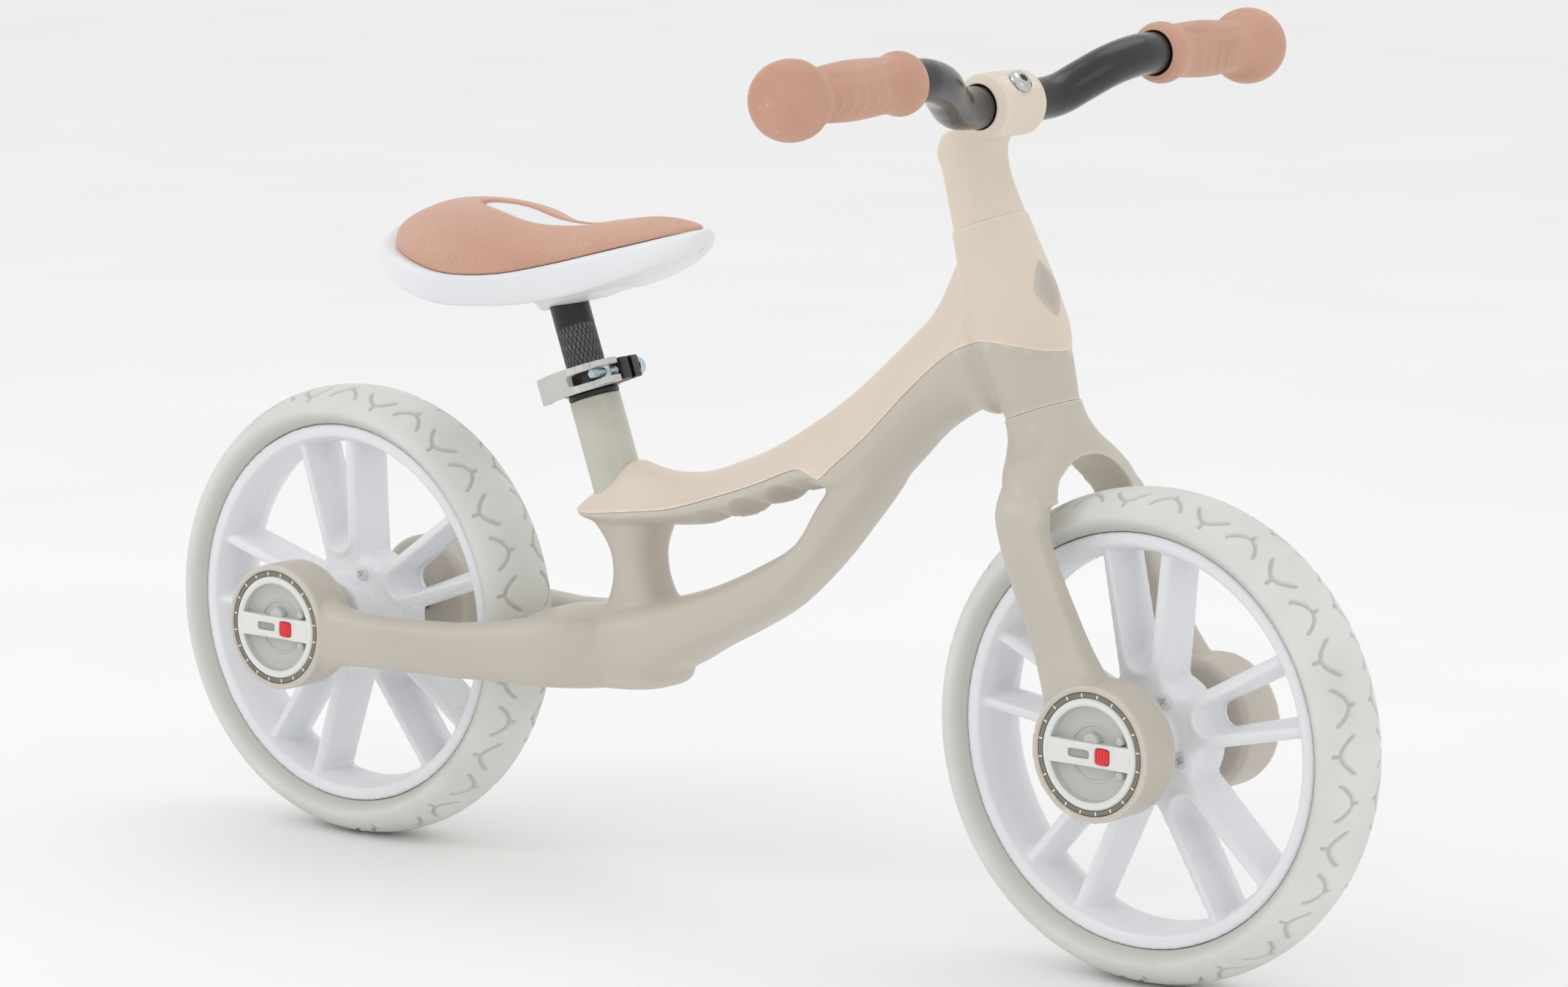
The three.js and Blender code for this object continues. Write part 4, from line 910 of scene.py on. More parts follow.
def fork_arch():
    turn = np.pi * np.arange(25) / 24
    rise = ARCH_HALF_WIDTH * 0.75
    outline = [(ARCH_HALF_WIDTH * math.cos(t), ARCH_TOP_Z - rise + rise * math.sin(t)) for t in turn]
    outline += [(-ARCH_HALF_WIDTH, 60), (ARCH_HALF_WIDTH, 60)]
    return plate("arch", outline, 150, 350, axis=0)


def add_fork():
    crown = cut(head_loft("crown", CROWN_SECTIONS, 2.4), fork_arch())
    leg = loft("leg", [
        oval((x, y, z), X, Y, half_forward, half_side, 3.4)
        for x, y, z, half_forward, half_side in spline(LEG_SECTIONS, 4)
    ])
    parts = [crown, *both_sides(leg), *both_sides(boss("front"))]
    fork = fused("fork_moulding", parts, VOXEL, 5, thin=0.6)
    socket = moved(rod("socket", STEERER_RADIUS, -STEERER_DEPTH, 5), ON_HEAD)
    cut(fork, *boss_trims("front"), head_slab(-SEAM, 1), socket)
    finish(fork, "steering", TAUPE, "fork", "fork")


# ---------------------------------------------------------------- stem and handlebar
STEM_SECTIONS = [
    (HEAD_LENGTH - 5, 0, 19.2, 19.2), (HEAD_LENGTH + 1, 0, 19, 19), (108, 0, 18.3, 18.3),
    (120, 0.2, 17.4, 17.4), (132, 1.6, 17.6, 17.2), (141, 4.5, 21.5, 17), (149, 11, 22, 17),
]
CLAMP_RADIUS, CLAMP_HALF_WIDTH, BAR_RADIUS = 16.8, 20, 11
PINCH_TILT = math.radians(44)
AT_BAR = at(*BAR_CENTRE)
ON_PINCH = AT_BAR @ Matrix.Rotation(PINCH_TILT, 4, "Y") @ Y_TO_Z
# The left half of the bar's middle line, from the clamp outwards.
BAR_POINTS = [
    (0, 0, 0), (0.5, 27, 0), (3.5, 44, 2), (9, 58, 8.5), (15, 71, 15), (18.8, 86, 19),
    (20, 101, 20), (19.4, 150, 18.8), (17.8, 203, 17.3),
]


def add_stem():
    drum = moved(rod("drum", CLAMP_RADIUS, -CLAMP_HALF_WIDTH, CLAMP_HALF_WIDTH, 4), AT_BAR)
    stem = fused("stem_moulding", [head_loft("neck", STEM_SECTIONS), drum], 0.9, 6, thin=0.6)
    mouth = turned("mouth", [
        (0, -30), (14.5, -30), (11.6, -CLAMP_HALF_WIDTH + 1.2), (11.3, -CLAMP_HALF_WIDTH + 3),
        (11.3, CLAMP_HALF_WIDTH - 3), (11.6, CLAMP_HALF_WIDTH - 1.2), (14.5, 30), (0, 30)])
    pocket = turned("pocket", [(0, 5), (3.6, 5), (3.6, 16), (7.1, 16), (7.1, 17), (8.4, 30), (0, 30)])
    cut(stem, head_slab(HEAD_LENGTH + SEAM, -1), moved(mouth, AT_BAR), moved(pocket, ON_PINCH))
    finish(stem, "steering", CREAM, "cover", "stem")


def add_pinch_bolt():
    bolt = turned("pinch_bolt", [
        (0, 12), (3, 12), (3, 16.3), (6.5, 16.3), (6.6, 17), (6.2, 18.3), (5.2, 19.4),
        (4.0, 19.95), (0, 20)], 64)
    hexagon = [(2.6 * math.cos(a), 2.6 * math.sin(a)) for a in np.pi / 3 * np.arange(6)]
    cut(bolt, plate("socket", hexagon, 17.2, 25, axis=1))
    moved(bolt, ON_PINCH)
    finish(bolt, "steering", CHROME, "chrome", "stem_pinch_bolt", angle=30)


def bar_path():
    left = np.array(BAR_POINTS, float) + BAR_CENTRE
    right = left[:0:-1] * (1, -1, 1)
    return spline(np.vstack([right, left]), 8)


def add_handlebar():
    bar = swept("bar_tube", bar_path(), BAR_RADIUS, 48)
    finish(bar, "steering", BAR_PAINT, "black_paint", "handlebar")


# ---------------------------------------------------------------- grips
GRIP_START = BAR_CENTRE + (20, 105, 19.9)
GRIP_END = BAR_CENTRE + (17.6, 211, 17.1)
GRIP_PROFILE = [
    (13.4, 0), (14.9, 1.5), (16.1, 5.5), (15.9, 9.5), (14.7, 13.5), (14.4, 20), (15.1, 36),
    (15.3, 48), (14.5, 62), (13.6, 71), (14.4, 75), (17.2, 79), (19.4, 83.5), (20.2, 89),
    (19.6, 95), (17.8, 100), (15.2, 103.6), (12.2, 105.6), (9, 106.2), (0.01, 106.3),
]
RIB_COUNT, RIB_PITCH, RIB_START, RIB_HEIGHT = 6, 8.2, 25, 0.85
RIB_TURN = 1.75
WAVE_HEIGHT = 0.7


def grip_relief(along, turn):
    """Height of the grip's raised wave and finger ribs. turn is measured from straight up."""
    body = np.clip((along - 14) / 6, 0, 1) * np.clip((74 - along) / 6, 0, 1)
    wave = 0.52 + 0.2 * np.sin((along - 20) / 17)
    edge = np.clip((np.abs(turn) - wave) / 0.10, 0, 1)
    height = -WAVE_HEIGHT * edge * body
    second = np.exp(-(((np.abs(turn) - wave - 0.42) / 0.06) ** 2))
    height += 0.35 * second * body
    for k in range(RIB_COUNT):
        middle = RIB_START + RIB_PITCH * k
        bend = middle + 3.4 * ((np.abs(turn) - RIB_TURN) / 0.55) ** 2
        inside = np.clip((0.62 - np.abs(np.abs(turn) - RIB_TURN)) / 0.12, 0, 1)
        height += RIB_HEIGHT * inside * np.exp(-((along - bend) ** 2))
    return height


def grip_mesh():
    profile = spline(GRIP_PROFILE, 11)
    steps = 144
    turn = 2 * np.pi * np.arange(steps) / steps - np.pi
    radius, along = profile[:, 0], profile[:, 1]
    relief = grip_relief(along[None, :], turn[:, None]) * (radius > 12)
    reach = radius[None, :] + relief
    emblem = lozenge_mark(reach * np.sin(turn)[:, None], reach * np.cos(turn)[:, None])
    level = along[None, :] + emblem * (along > 103)[None, :]
    outer = np.stack([reach * np.sin(turn)[:, None], level, reach * np.cos(turn)[:, None]], -1)
    bore = np.array([(0.01, 99.3), (12, 99.3), (12, 0), (13.4, 0)])
    inner = np.stack([
        np.outer(np.sin(turn), bore[:, 0]), np.tile(bore[:, 1], (steps, 1)),
        np.outer(np.cos(turn), bore[:, 0])], -1)
    skin = np.concatenate([outer, inner[:, :-1]], axis=1)
    return make("grip", skin.reshape(-1, 3), grid_faces(steps, skin.shape[1], wrap_rows=True))


def lozenge_mark(x, z):
    """A raised plain lozenge for the grip's end."""
    size = np.abs(x) / 8 + np.abs(z) / 5
    return 0.5 * np.clip((1.1 - size) / 0.14, 0, 1)


def add_grips():
    along = Vector(GRIP_END - GRIP_START).normalized()
    turn = Vector((0, 1, 0)).rotation_difference(along).to_matrix().to_4x4()
    left = moved(grip_mesh(), at(*GRIP_START) @ turn)
    for side, obj in zip(SIDES, both_sides(left)):
        obj.name = f"grip_sleeve_{side}"
        finish(obj, "steering", GRIP, "grip", f"grip_{side}", angle=60)


# ---------------------------------------------------------------- locking knobs
KNOB_RADIUS, KNOB_DEPTH = 28.4, 12
BUTTON_X, BUTTON_HALF_WIDE, BUTTON_HALF_HIGH = 8.6, 4.2, 3.9
SLOT_X = -6.0
WING_OUTLINE = [
    (-25, -6.3), (-10, -6.0), (10, -6.0), (25, -6.3), (25, 6.3), (10, 6.0), (-10, 6.0), (-25, 6.3),
]
# The bounds inside which the knob's faces take the painted shade.
DISH_RADIUS, DISH_TOP = 25, -0.9
TICKS = 20


def rounded_box(wide, high, power=5, steps=40):
    return [tuple(p[[0, 2]]) for p in oval((0, 0, 0), X, Z, wide, high, power, steps)]


def knob_solid():
    dial = turned("dial", [
        (0, -KNOB_DEPTH), (KNOB_RADIUS - 2, -KNOB_DEPTH), (KNOB_RADIUS, -KNOB_DEPTH + 3),
        (KNOB_RADIUS, -0.9), (KNOB_RADIUS - 0.8, 0), (25.4, 0), (24.5, -0.7), (23.6, -4.2),
        (21.5, -5.2), (15.4, -5.6), (14.9, -5.0), (14.0, -5.0), (13.5, -5.7), (0, -6),
    ], 128)
    bar = plate("bar", WING_OUTLINE, -8, 0.1, axis=1, bevel=0.7)
    lug = moved(rod("lug", 4.6, -6, -1.4, 0.6), Matrix.Translation((0.0, 0, 6.2 * MM)))
    added = [bar, lug]
    for high in (8.6, -8.6):
        stud = rod("stud", 2.3, -8, -1.6, 0.5, 32)
        added.append(moved(stud, Matrix.Translation((17.6 * MM, 0, high * MM))))
    for part in added:
        combine(dial, part, "UNION")
    return dial


def knob_mesh():
    """The knob with its wells; the dish's floor and the bar's sides within it get a darker copy of the
    knob's plastic as painted shade.
    """
    knob = knob_solid()
    well = plate("well", rounded_box(BUTTON_HALF_WIDE + 0.4, BUTTON_HALF_HIGH + 0.4), -7.5, 3, axis=1)
    slot = plate("slot", rounded_box(6.6, 2.3, 6), -1.3, 3, axis=1)
    moved(well, Matrix.Translation((BUTTON_X * MM, 0, 0)))
    moved(slot, Matrix.Translation((SLOT_X * MM, 0, 0)))
    blind = rod("blind", AXLE_HOLE_RADIUS, -KNOB_DEPTH - 1, -KNOB_DEPTH + 4.5)
    bevelled(cut(knob, well, slot, blind), 0.35, 2, 50)
    knob.data.materials.clear()
    knob.data.materials.append(KNOB)
    knob.data.materials.append(DISH_SHADE)
    # Painted shade: faces inside the dish's radius and below its top take the darker copy.
    for face in knob.data.polygons:
        x, y, z = face.center / MM
        face.material_index = int(math.hypot(x, z) < DISH_RADIUS and y < DISH_TOP)
    return knob


def slot_insert_mesh():
    insert = plate("insert", rounded_box(6.5, 2.2, 6), -1.9, -0.9, axis=1, bevel=0.15)
    return moved(insert, Matrix.Translation((SLOT_X * MM, 0, 0)))


def button_mesh():
    """A button with upright ribs across a slightly crowned face."""
    x = np.linspace(-BUTTON_HALF_WIDE, BUTTON_HALF_WIDE, 61)
    crown = 1.3 - 0.9 * (x / BUTTON_HALF_WIDE) ** 2
    ribs = 0.22 * np.cos(x / BUTTON_HALF_WIDE * np.pi * 4.5)
    top = crown + ribs * (np.abs(x) < BUTTON_HALF_WIDE * 0.9)
    outline = [*zip(x, top), (BUTTON_HALF_WIDE, -4.2), (-BUTTON_HALF_WIDE, -4.2)]
    button = plate("button", outline, -BUTTON_HALF_HIGH, BUTTON_HALF_HIGH)
    round_off = plate("round", rounded_box(BUTTON_HALF_WIDE, BUTTON_HALF_HIGH), -6, 6, axis=1)
    combine(button, round_off, "INTERSECT")
    return moved(bevelled(button, 0.25, 2, 60), Matrix.Translation((BUTTON_X * MM, 0, 0)))


def index_ring_mesh():
    """The dark ring round a knob, with its raised pale ticks."""
    ring = sleeve("ring", KNOB_RADIUS + 0.3, CUP_RADIUS - 0.3, -KNOB_DEPTH, -0.7, 0.4, 128)
    pieces = [ring]
    for k in range(TICKS):
        tick = block("tick", (1.9, 0.5, 0.7), (KNOB_RADIUS + 1.6, -0.6, 0), 0.12)
        for face in tick.data.polygons:
            face.material_index = 1
        pieces.append(moved(tick, Matrix.Rotation(2 * math.pi * (k + 0.5) / TICKS, 4, "Y")))
    both = joined("index_ring", pieces)
    both.data.materials.append(RING)
    both.data.materials.append(TICK)
    return both


def add_knobs():
    patterns = {
        "index_ring": (index_ring_mesh(), None, "index_ring"),
        "lock_knob": (knob_mesh(), None, "lock_knob"),
        "slot_insert": (slot_insert_mesh(), SLOT_GREY, "index_ring"),
        "lock_button": (button_mesh(), RED, "lock_button"),
    }
    for end, (_, outer) in BOSS.items():
        for side, flip in SIDES.items():
            place = at_axle(end) @ flip @ Matrix.Translation((0, outer * MM, 0))
            bodies = {
                "index_ring": HOLDER[end], "lock_knob": f"knob_{end}_{side}",
                "slot_insert": f"knob_{end}_{side}", "lock_button": f"button_{end}_{side}",
            }
            for key, (pattern, material, slot) in patterns.items():
                obj = moved(duplicate(pattern), place)
                obj.name = f"{key}_piece_{end}_{side}"
                nodes = [f"{key}_{end}_{side}"] if key != "slot_insert" else []
                finish(obj, bodies[key], material, slot, *nodes, angle=35)
    for pattern, _, _ in patterns.values():
        bpy.data.objects.remove(pattern)


# ---------------------------------------------------------------- seat tube, clamp and post
BAND_FROM, BAND_TO, BAND_RADIUS = 3.3, 15.6, 16
BAND_MID = (BAND_FROM + BAND_TO) / 2
BOLT_FORWARD = 26
PIVOT = (26, -16)
AT_BOLT = at(BOLT_FORWARD, 0, BAND_MID)
LEVER_START, LEVER_SWEEP = -34, 104
POST_FROM, POST_TO, POST_STEP, KNURL_TO = -74, 66.01, 0.6, 41
POST_RADIUS, POST_END_RADIUS, KNURL_DEPTH = 10.8, 10.2, 0.55
KNURL_STARTS, KNURL_TURN, KNURL_RISE = 26, 2 * np.pi / 38, 4.4


def add_seat_tube():
    tube = sleeve("seat_tube_skin", 12.2, 14, -SEAT_TUBE_DEPTH, 0, 0.5)
    finish(moved(tube, ON_SEAT), "frame", TUBE_PAINT, "seat_tube", "seat_tube")
    bushing = turned("bushing_skin", [
        (11.1, -40), (11.9, -40), (11.9, 0.3), (13.6, 0.3), (14, 0.7), (14, 2.6), (13.6, 3), (11.5, 3),
        (11.1, 2.6)], closed=True)
    finish(moved(bushing, ON_SEAT), "frame", BLACK, "black_plastic", "seat_bushing")


def add_clamp_band():
    band = moved(sleeve("band", 11.1, BAND_RADIUS, BAND_FROM, BAND_TO, 0.8), Y_TO_Z)
    ears = block("ears", (18, 15, BAND_TO - BAND_FROM), (22, 0, BAND_MID), 1.0)
    cut(ears, moved(rod("clear", 12, BAND_FROM - 5, BAND_TO + 5), Y_TO_Z))
    combine(band, ears, "UNION")
    split = block("split", (30, 3, 40), (26, 0, BAND_MID))
    hole = moved(rod("hole", 2.8, -40, 40), AT_BOLT)
    ribs = [
        block("rib", (2.2, 1.0, 30), (x, y, BAND_MID))
        for x in (22, 27) for y in (7.6, -7.6)
    ]
    cut(band, split, hole, *ribs)
    bevelled(band, 0.4, 2, 50)
    finish(moved(band, SEAT), "frame", CLAMP_PAINT, "clamp_metal", "seat_clamp_band")


def add_clamp_bolt():
    """The clamp's threaded bolt, the nut on it and the barrel that it goes through."""
    threads = [(2.3 - 0.22 * (k % 2), -27.6 + 0.5 * k) for k in range(40)]
    bolt = turned("clamp_bolt_skin", [
        (0, -28), (2.0, -28), *threads, (2.3, -7.6), (2.3, 12), (2.0, 12.4), (0, 12.4)], 48)
    finish(moved(bolt, SEAT @ AT_BOLT), "frame", ZINC, "zinc", "seat_clamp_bolt", angle=30)
    nut = turned("clamp_nut_skin", [
        (2.6, 7.8), (4.9, 7.8), (5.2, 8.1), (5.2, 11), (4.6, 12.2), (3.4, 12.6), (2.6, 12.6)], closed=True)
    finish(moved(nut, SEAT @ AT_BOLT), "frame", ZINC, "zinc", "seat_clamp_nut")
    barrel = moved(rod("clamp_barrel_skin", 3, -6, 6, 0.5), Y_TO_Z)
    moved(barrel, at(*PIVOT, BAND_MID))
    cut(barrel, moved(rod("through", 2.6, -40, 40), AT_BOLT))
    finish(moved(barrel, SEAT), "frame", ZINC, "zinc", "seat_clamp_barrel")


def add_lever():
    inner, outer = [], []
    for f in np.linspace(0, 1, 40):
        turn = math.radians(LEVER_START - LEVER_SWEEP * f)
        r = 21.5 + 7 * (1 - f) ** 2 + 1.5 * f
        thick = 4.4 + 1.5 * max(0, f - 0.5)
        inner.append((r * math.cos(turn), r * math.sin(turn)))
        outer.append(((r + thick) * math.cos(turn), (r + thick) * math.sin(turn)))
    blade = plate("lever_skin", inner + outer[::-1], BAND_MID - 7, BAND_MID + 7)
    cam = moved(rod("cam", 7.5, BAND_MID - 6.4, BAND_MID + 6.4), Y_TO_Z)
    moved(cam, at(*PIVOT, 0))
    combine(blade, cam, "UNION")
    slot_outline = [(x + 24, z + BAND_MID) for x, z in rounded_box(16, 3.3, 6)]
    slot = plate("slot", slot_outline, -60, -5, axis=1)
    pin = moved(rod("pin", 3.3, BAND_MID - 20, BAND_MID + 20), Y_TO_Z)
    moved(pin, at(*PIVOT, 0))
    cut(blade, slot, pin)
    bevelled(blade, 0.7, 3, 50)
    finish(moved(blade, SEAT), "clamp_lever", LEVER, "lever", "seat_clamp_lever")


def add_seat_post():
    """A post with a diamond knurl below a smooth neck."""
    level = np.arange(POST_FROM, POST_TO, POST_STEP)
    steps = 132
    turn = 2 * np.pi * np.arange(steps) / steps
    round_post = turn[:, None] * KNURL_STARTS
    up_post = level[None, :] * KNURL_TURN * KNURL_STARTS / KNURL_RISE
    grooves = np.maximum(np.cos(round_post + up_post), np.cos(round_post - up_post)) ** 2
    zone = np.clip((KNURL_TO - level) / 1.5, 0, 1)[None, :]
    reach = POST_RADIUS - KNURL_DEPTH * grooves * zone
    reach[:, 0] = reach[:, -1] = POST_END_RADIUS
    ring = np.stack([reach * np.cos(turn)[:, None], np.tile(level, (steps, 1)),
                     reach * np.sin(turn)[:, None]], -1)
    post = moved(loft("seat_post_skin", ring.transpose(1, 0, 2)), ON_SEAT)
    mark(post, "knurl", ((1 - grooves) * zone).T)
    finish(post, "seat", POST_PAINT, "black_paint", "seat_post", angle=70)


# ---------------------------------------------------------------- saddle
# Rows of the saddle: x, half width, z of the shell's floor, of its rim and of the pad's crown.
SADDLE_SECTIONS = [
    (-223.5, 9, 351, 354, 357), (-221, 24, 345, 352, 358), (-215, 44, 335.5, 346.5, 361),
    (-203, 59, 328.5, 342, 364.5), (-183, 66, 321, 337, 365.5), (-160, 62, 315, 331.8, 363.8),
    (-135, 48, 314.5, 332, 358.5), (-110, 33.5, 318.5, 337.6, 358), (-85, 25.5, 326, 344.6, 361.5),
    (-60, 21, 335, 351.4, 365.8), (-40, 16.5, 343, 356.8, 366.5), (-28, 11, 349.3, 359.5, 364.8),
    (-24, 4, 353, 360.5, 362),
]
# Rows of the keel under the shell: x, half width, z of its underside.
KEEL_SECTIONS = [
    (-120, 31, 313), (-108, 27.5, 315.5), (-92, 22.5, 321), (-68, 17.5, 327.5),
    (-53, 15, 333), (-37, 11, 341), (-29, 7.5, 346.7),
]
SHELL_THICKNESS = 2.4
SADDLE_MIDDLE_X = -118
CHANNEL_X, CHANNEL_HALF_LENGTH, CHANNEL_HALF_WIDTH = -136, 44, 16
ISLAND_DROP = 1.3
PAD_MARGIN = 3.4
PAD_TURNS = 144
PAD_ROWS = spline(SADDLE_SECTIONS, 4)
HALF_WIDTH, FLOOR_Z, RIM_Z, CROWN_Z = 1, 2, 3, 4
CLOTH_FRAMES, PAD_PRESSURE, SWELL_CAP = 20, 1.5, 2.0


def saddle_at(x, column):
    """A column of the saddle's rows at a place along it."""
    return np.interp(x, PAD_ROWS[:, 0], PAD_ROWS[:, column])


def shell_ring(row, inset, drop):
    x, half_width, lower, rim = row[:4]
    x = SADDLE_MIDDLE_X + (x - SADDLE_MIDDLE_X) * (1 - inset / 95)
    half, top = max(half_width - inset, 1.5), rim - inset
    height = top - lower
    side = [(half - 2.4 * (1 + drop / height), lower - drop)] if drop else []
    side += [
        (half - 2.4, lower), (half - 1.0, lower + 0.12 * height), (half + 0.5, lower + 0.42 * height),
        (half + 0.6, lower + 0.68 * height), (half - 0.4, top - 1.2), (half - 1.5, top - 0.1),
        (half - 3.2, top + 0.3), (half * 0.5, top + 1.2),
    ]
    side = [(max(w, 0.5), z) for w, z in side]
    return [(x, w, z) for w, z in side + [(-w, z) for w, z in reversed(side)]]


def keel():
    rings = []
    for x, half_width, lower in spline(KEEL_SECTIONS, 4):
        middle = saddle_at(x, FLOOR_Z) + 1
        rings.append(oval((x, 0, middle), Y, Z, half_width, middle - lower, 2.6))
    return loft("keel", rings)


def add_saddle_base():
    outer = loft("outer", [shell_ring(row, 0, 0) for row in PAD_ROWS])
    cut(outer, loft("inner", [shell_ring(row, SHELL_THICKNESS, 12) for row in PAD_ROWS]))
    socket = moved(turned("socket", [
        (0, 53), (15.2, 53), (16.6, 54), (17.5, 56), (17.5, 72), (0, 72)]), ON_SEAT)
    island = [[(x, y, z - drop) for x, y, z in island_ring(k)]
              for k, drop in ((1, 30), (1, 1.2), (0.94, 0.2), (0.7, 0), (0.4, 0))]
    parts = [outer, keel(), socket, loft("island", island)]
    shell = fused("saddle_shell", parts, 0.9, 10, thin=0.5)
    cut(shell, moved(rod("post", 11.1, 30, 66.3), ON_SEAT))
    finish(shell, "seat", SHELL, "saddle_base", "saddle_base")


def channel_outline(grow=0.0, steps=96):
    """The pad's teardrop opening, from its front tip round the rider's left."""
    turn = 2 * np.pi * np.arange(steps) / steps
    taper = 1 - 0.55 * (np.cos(turn) * 0.5 + 0.5)
    x = CHANNEL_X + (CHANNEL_HALF_LENGTH + grow) * np.cos(turn)
    return np.column_stack([x, (CHANNEL_HALF_WIDTH + grow) * np.sin(turn) * taper])


def island_ring(shrink):
    """A ring of the shell's raised middle, which fills the pad's opening just below its crown."""
    outline = (channel_outline(-0.7) - (CHANNEL_X, 0)) * shrink + (CHANNEL_X, 0)
    return np.column_stack([outline, saddle_at(outline[:, 0], CROWN_Z) - ISLAND_DROP])


def pad_margin(x):
    """How far the pad stays inside the shell's edge, more so round its tail."""
    return PAD_MARGIN + 4 * np.clip((-150 - x) / 50, 0, 1)


def pad_outline():
    """The pad's edge, from its nose round the rider's left."""
    x = SADDLE_MIDDLE_X + (PAD_ROWS[::-1, 0] - SADDLE_MIDDLE_X) * 0.95
    half = np.maximum(PAD_ROWS[::-1, 1] - pad_margin(PAD_ROWS[::-1, 0]), 0)
    side = np.column_stack([x, half])
    side = np.vstack([[side[0, 0] + 1.5, 0], side[half > 1], [side[-1, 0] + 0.5, 0]])
    loop = np.vstack([side, side[-2:0:-1] * (1, -1)])
    return even_loop(loop, PAD_TURNS)


def even_loop(loop, steps):
    """A closed outline again, with its points evenly spaced."""
    closed = np.vstack([loop, loop[:1]])
    length = np.concatenate([[0], np.cumsum(np.linalg.norm(np.diff(closed, axis=0), axis=1))])
    at = length[-1] * np.arange(steps) / steps
    return np.column_stack([np.interp(at, length, closed[:, k]) for k in (0, 1)])


def pad_ring(ring, inner, edge_line):
    """Raises a ring of the pad's top: a dome that falls off at the edge and at the opening's lip."""
    edge = np.min(np.linalg.norm(ring[:, None] - edge_line[None], axis=2), axis=1)
    hole = np.linalg.norm(ring - inner, axis=1)
    half = saddle_at(ring[:, 0], HALF_WIDTH) - pad_margin(ring[:, 0])
    across = np.sqrt(1 - np.clip(np.abs(ring[:, 1]) / np.maximum(half, 6), 0, 1) ** 2.1)
    ends = np.sqrt(1 - (1 - np.clip(edge / 22, 0, 1)) ** 2)
    dome = (np.maximum(across, 1e-3) ** -4 + np.maximum(ends, 1e-3) ** -4 - 1) ** -0.25
    low = saddle_at(ring[:, 0], RIM_Z) + 2.6
    high = saddle_at(ring[:, 0], CROWN_Z)
    lip = 1 - np.sqrt(1 - (1 - np.clip(hole / 2.8, 0, 1)) ** 2)
    return np.column_stack([ring, low + (high - low) * dome - 1.0 * lip])


def pad_mesh():
    """A domed pad as rings from its opening's foot, over the crown, round its edge and underneath."""
    outer = pad_outline()
    inner = even_loop(channel_outline(), PAD_TURNS)
    edge_line = even_loop(outer, 720)
    reach = np.concatenate([np.linspace(0, 0.8, 17), np.linspace(0.84, 1, 12)])
    rings = [pad_ring(inner + (outer - inner) * t, inner, edge_line) for t in reach]
    foot = saddle_at(outer[:, 0], RIM_Z)
    centre = outer.mean(axis=0)
    for shrink, up in ((1.0, 1.2), (0.992, 0.5), (0.96, 0.6)):
        rings.append(np.column_stack([centre + (outer - centre) * shrink, foot + up]))
    deck = saddle_at(inner[:, 0], RIM_Z) + 2
    rings.append(np.column_stack([inner + (inner - (CHANNEL_X, 0)) * 0.02, deck]))
    faces = grid_faces(len(rings), PAD_TURNS, wrap_rows=True)
    return make("saddle_cushion", np.array(rings).reshape(-1, 3), faces)


def swell(obj, pressure, cap):
    """Cloth pressure that crowns the pad, with no point moved further than a cap."""
    before = np.array([v.co for v in obj.data.vertices])
    cloth = obj.modifiers.new("cloth", "CLOTH")
    settings = cloth.settings
    settings.use_pressure = True
    settings.uniform_pressure_force = pressure
    settings.effector_weights.gravity = 0
    settings.quality = 4
    pinned = obj.vertex_groups.new(name="floor")
    low = [v.index for v in obj.data.vertices if v.normal.z < -0.5]
    pinned.add(low, 1.0, "REPLACE")
    settings.vertex_group_mass = "floor"
    cloth.collision_settings.use_collision = False
    for number in range(1, CLOTH_FRAMES + 1):
        bpy.context.scene.frame_set(number)
    settle(obj)
    bpy.context.scene.frame_set(1)
    after = np.array([v.co for v in obj.data.vertices])
    step = after - before
    size = np.linalg.norm(step, axis=1, keepdims=True)
    after = before + step * np.minimum(1, cap * MM / np.maximum(size, 1e-9))
    obj.data.vertices.foreach_set("co", after.astype(np.float32).ravel())
    obj.data.update()


def add_saddle_pad():
    pad = pad_mesh()
    swell(pad, PAD_PRESSURE, SWELL_CAP)
    finer = pad.modifiers.new("finer", "SUBSURF")
    finer.levels = 1
    settle(pad)
    finish(pad, "seat", LEATHER, "saddle_pad", "saddle_pad", angle=80)


# ---------------------------------------------------------------- badge and inner nodes
def add_badge():
    """A plain lozenge on the front of the head tube."""
    profile = spline(HEAD_PROFILE, 6)
    outline = oval((0, 0, 0), X, Y, 0.42, 15, 1.25, 64)
    rings = []
    for shrink, lift in ((1, -1.5), (1, 0.35), (0.96, 0.6), (0.6, 0.6), (0.3, 0.6)):
        loop = outline * shrink
        up = 58 + loop[:, 1]
        r = np.interp(up, profile[:, 1], profile[:, 0]) + 0.5 + lift
        rings.append([head_point(a * math.cos(t), a * math.sin(t), h)
                      for a, t, h in zip(r, loop[:, 0], up)])
    finish(loft("head_badge", rings), "frame", BADGE, "cover")


def add_spacers():
    for end, (inner, _) in BOSS.items():
        for side, flip in SIDES.items():
            name = f"spacer_skin_{end}_{side}"
            tube = sleeve(name, AXLE_HOLE_RADIUS, 7.5, HUB_REACH - 0.2, inner - 0.3, 0.5)
            moved(tube, at_axle(end) @ flip)
            finish(tube, HOLDER[end], BLACK, "black_plastic", f"axle_spacer_{end}_{side}")


def paint_inner_nodes():
    """Materials for the CAD nodes that stay as they are, inside the hubs and the head tube."""
    for name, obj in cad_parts.items():
        if obj.hide_render:
            continue
        obj.data.materials.clear()
        obj.data.materials.append(BEARING if "bearing" in name else STEEL)


# ---------------------------------------------------------------- stage
TARGET = Vector((0.0291, 0, 0.22498))
AZIMUTH, ELEVATION, ROLL = math.radians(38.54), math.radians(9.55), math.radians(0.26)
DISTANCE = 3.0863
LENS, SENSOR = 134.18, 36
FLOOR_REACH, FLOOR_DEPTH = 30000, 20
WORLD_STRENGTH = 0.87
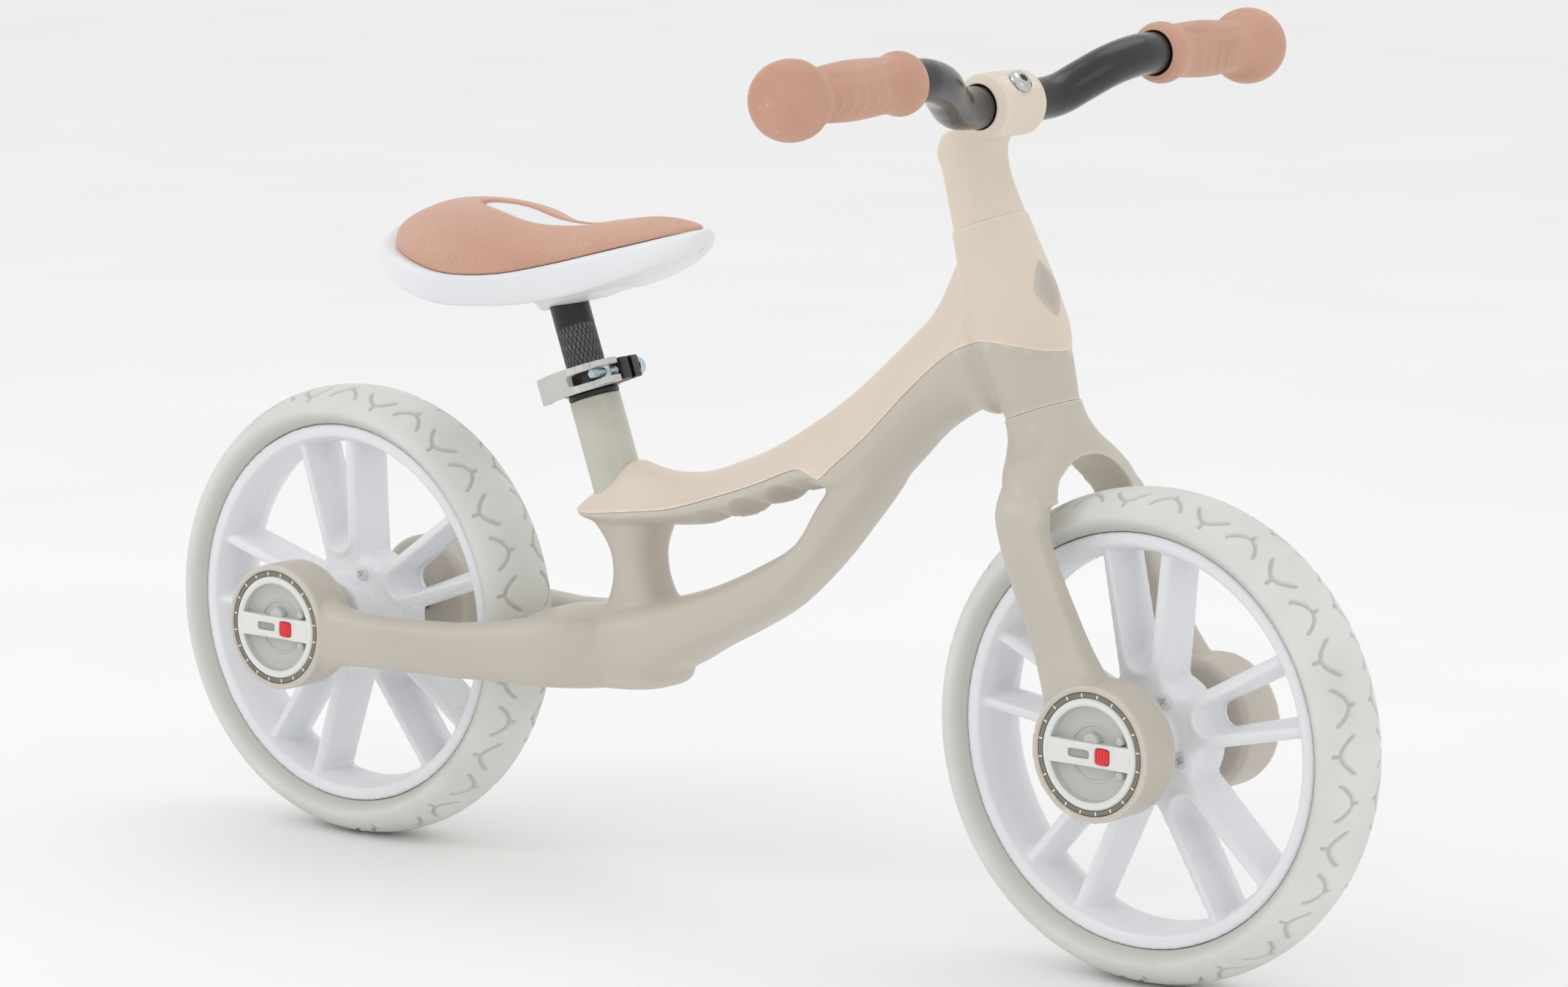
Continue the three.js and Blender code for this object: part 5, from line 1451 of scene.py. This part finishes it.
# Each light's place, size and power in watts.
LIGHTS = {
    "key": ((-1.5, -2.2, 2.2), 1.3, 10),
    "fill": ((2.6, -0.6, 1.2), 1.4, 2.5),
    "top": ((0.2, 0.8, 2.6), 1.6, 5),
}


def add_camera():
    data = bpy.data.cameras.new("camera")
    data.lens, data.sensor_width = LENS, SENSOR
    camera = linked("camera", data)
    back = Vector((
        math.sin(AZIMUTH) * math.cos(ELEVATION), -math.cos(AZIMUTH) * math.cos(ELEVATION),
        math.sin(ELEVATION),
    ))
    camera.location = TARGET + back * DISTANCE
    look = (-back).to_track_quat("-Z", "Y").to_matrix().to_4x4()
    camera.rotation_euler = (look @ Matrix.Rotation(ROLL, 4, "Z")).to_euler()
    bpy.context.scene.camera = camera


def add_light(name, place, size, power):
    data = bpy.data.lights.new(name, "AREA")
    data.shape, data.size, data.energy = "DISK", size, power
    light = linked(name, data)
    light.location = place
    light.rotation_euler = (TARGET - Vector(place)).to_track_quat("-Z", "Y").to_euler()


def add_stage():
    corners = [(-FLOOR_REACH, -FLOOR_REACH), (FLOOR_REACH, -FLOOR_REACH),
               (FLOOR_REACH, FLOOR_REACH), (-FLOOR_REACH, FLOOR_REACH)]
    floor = plate("floor", corners, -FLOOR_DEPTH, 0)
    n = Nodes("floor_paint")
    base = n.mix(n.cloud(3, 2), "fafafa", "fdfdfd")
    floor.data.materials.append(n.set(Base_Color=base, Roughness=0.9))
    world = bpy.data.worlds.new("studio")
    world.use_nodes = True
    background = world.node_tree.nodes["Background"]
    background.inputs["Color"].default_value = (1, 1, 1, 1)
    background.inputs["Strength"].default_value = WORLD_STRENGTH
    bpy.context.scene.world = world
    for name, setup in LIGHTS.items():
        add_light(name, *setup)
    bpy.context.scene.view_settings.view_transform = "Standard"


add_camera()
add_wheels()
add_frame_body()
add_frame_cover()
add_fork()
add_stem()
add_pinch_bolt()
add_handlebar()
add_grips()
add_knobs()
add_seat_tube()
add_clamp_band()
add_clamp_bolt()
add_lever()
add_seat_post()
add_saddle_base()
add_saddle_pad()
add_badge()
add_spacers()
paint_inner_nodes()
add_stage()
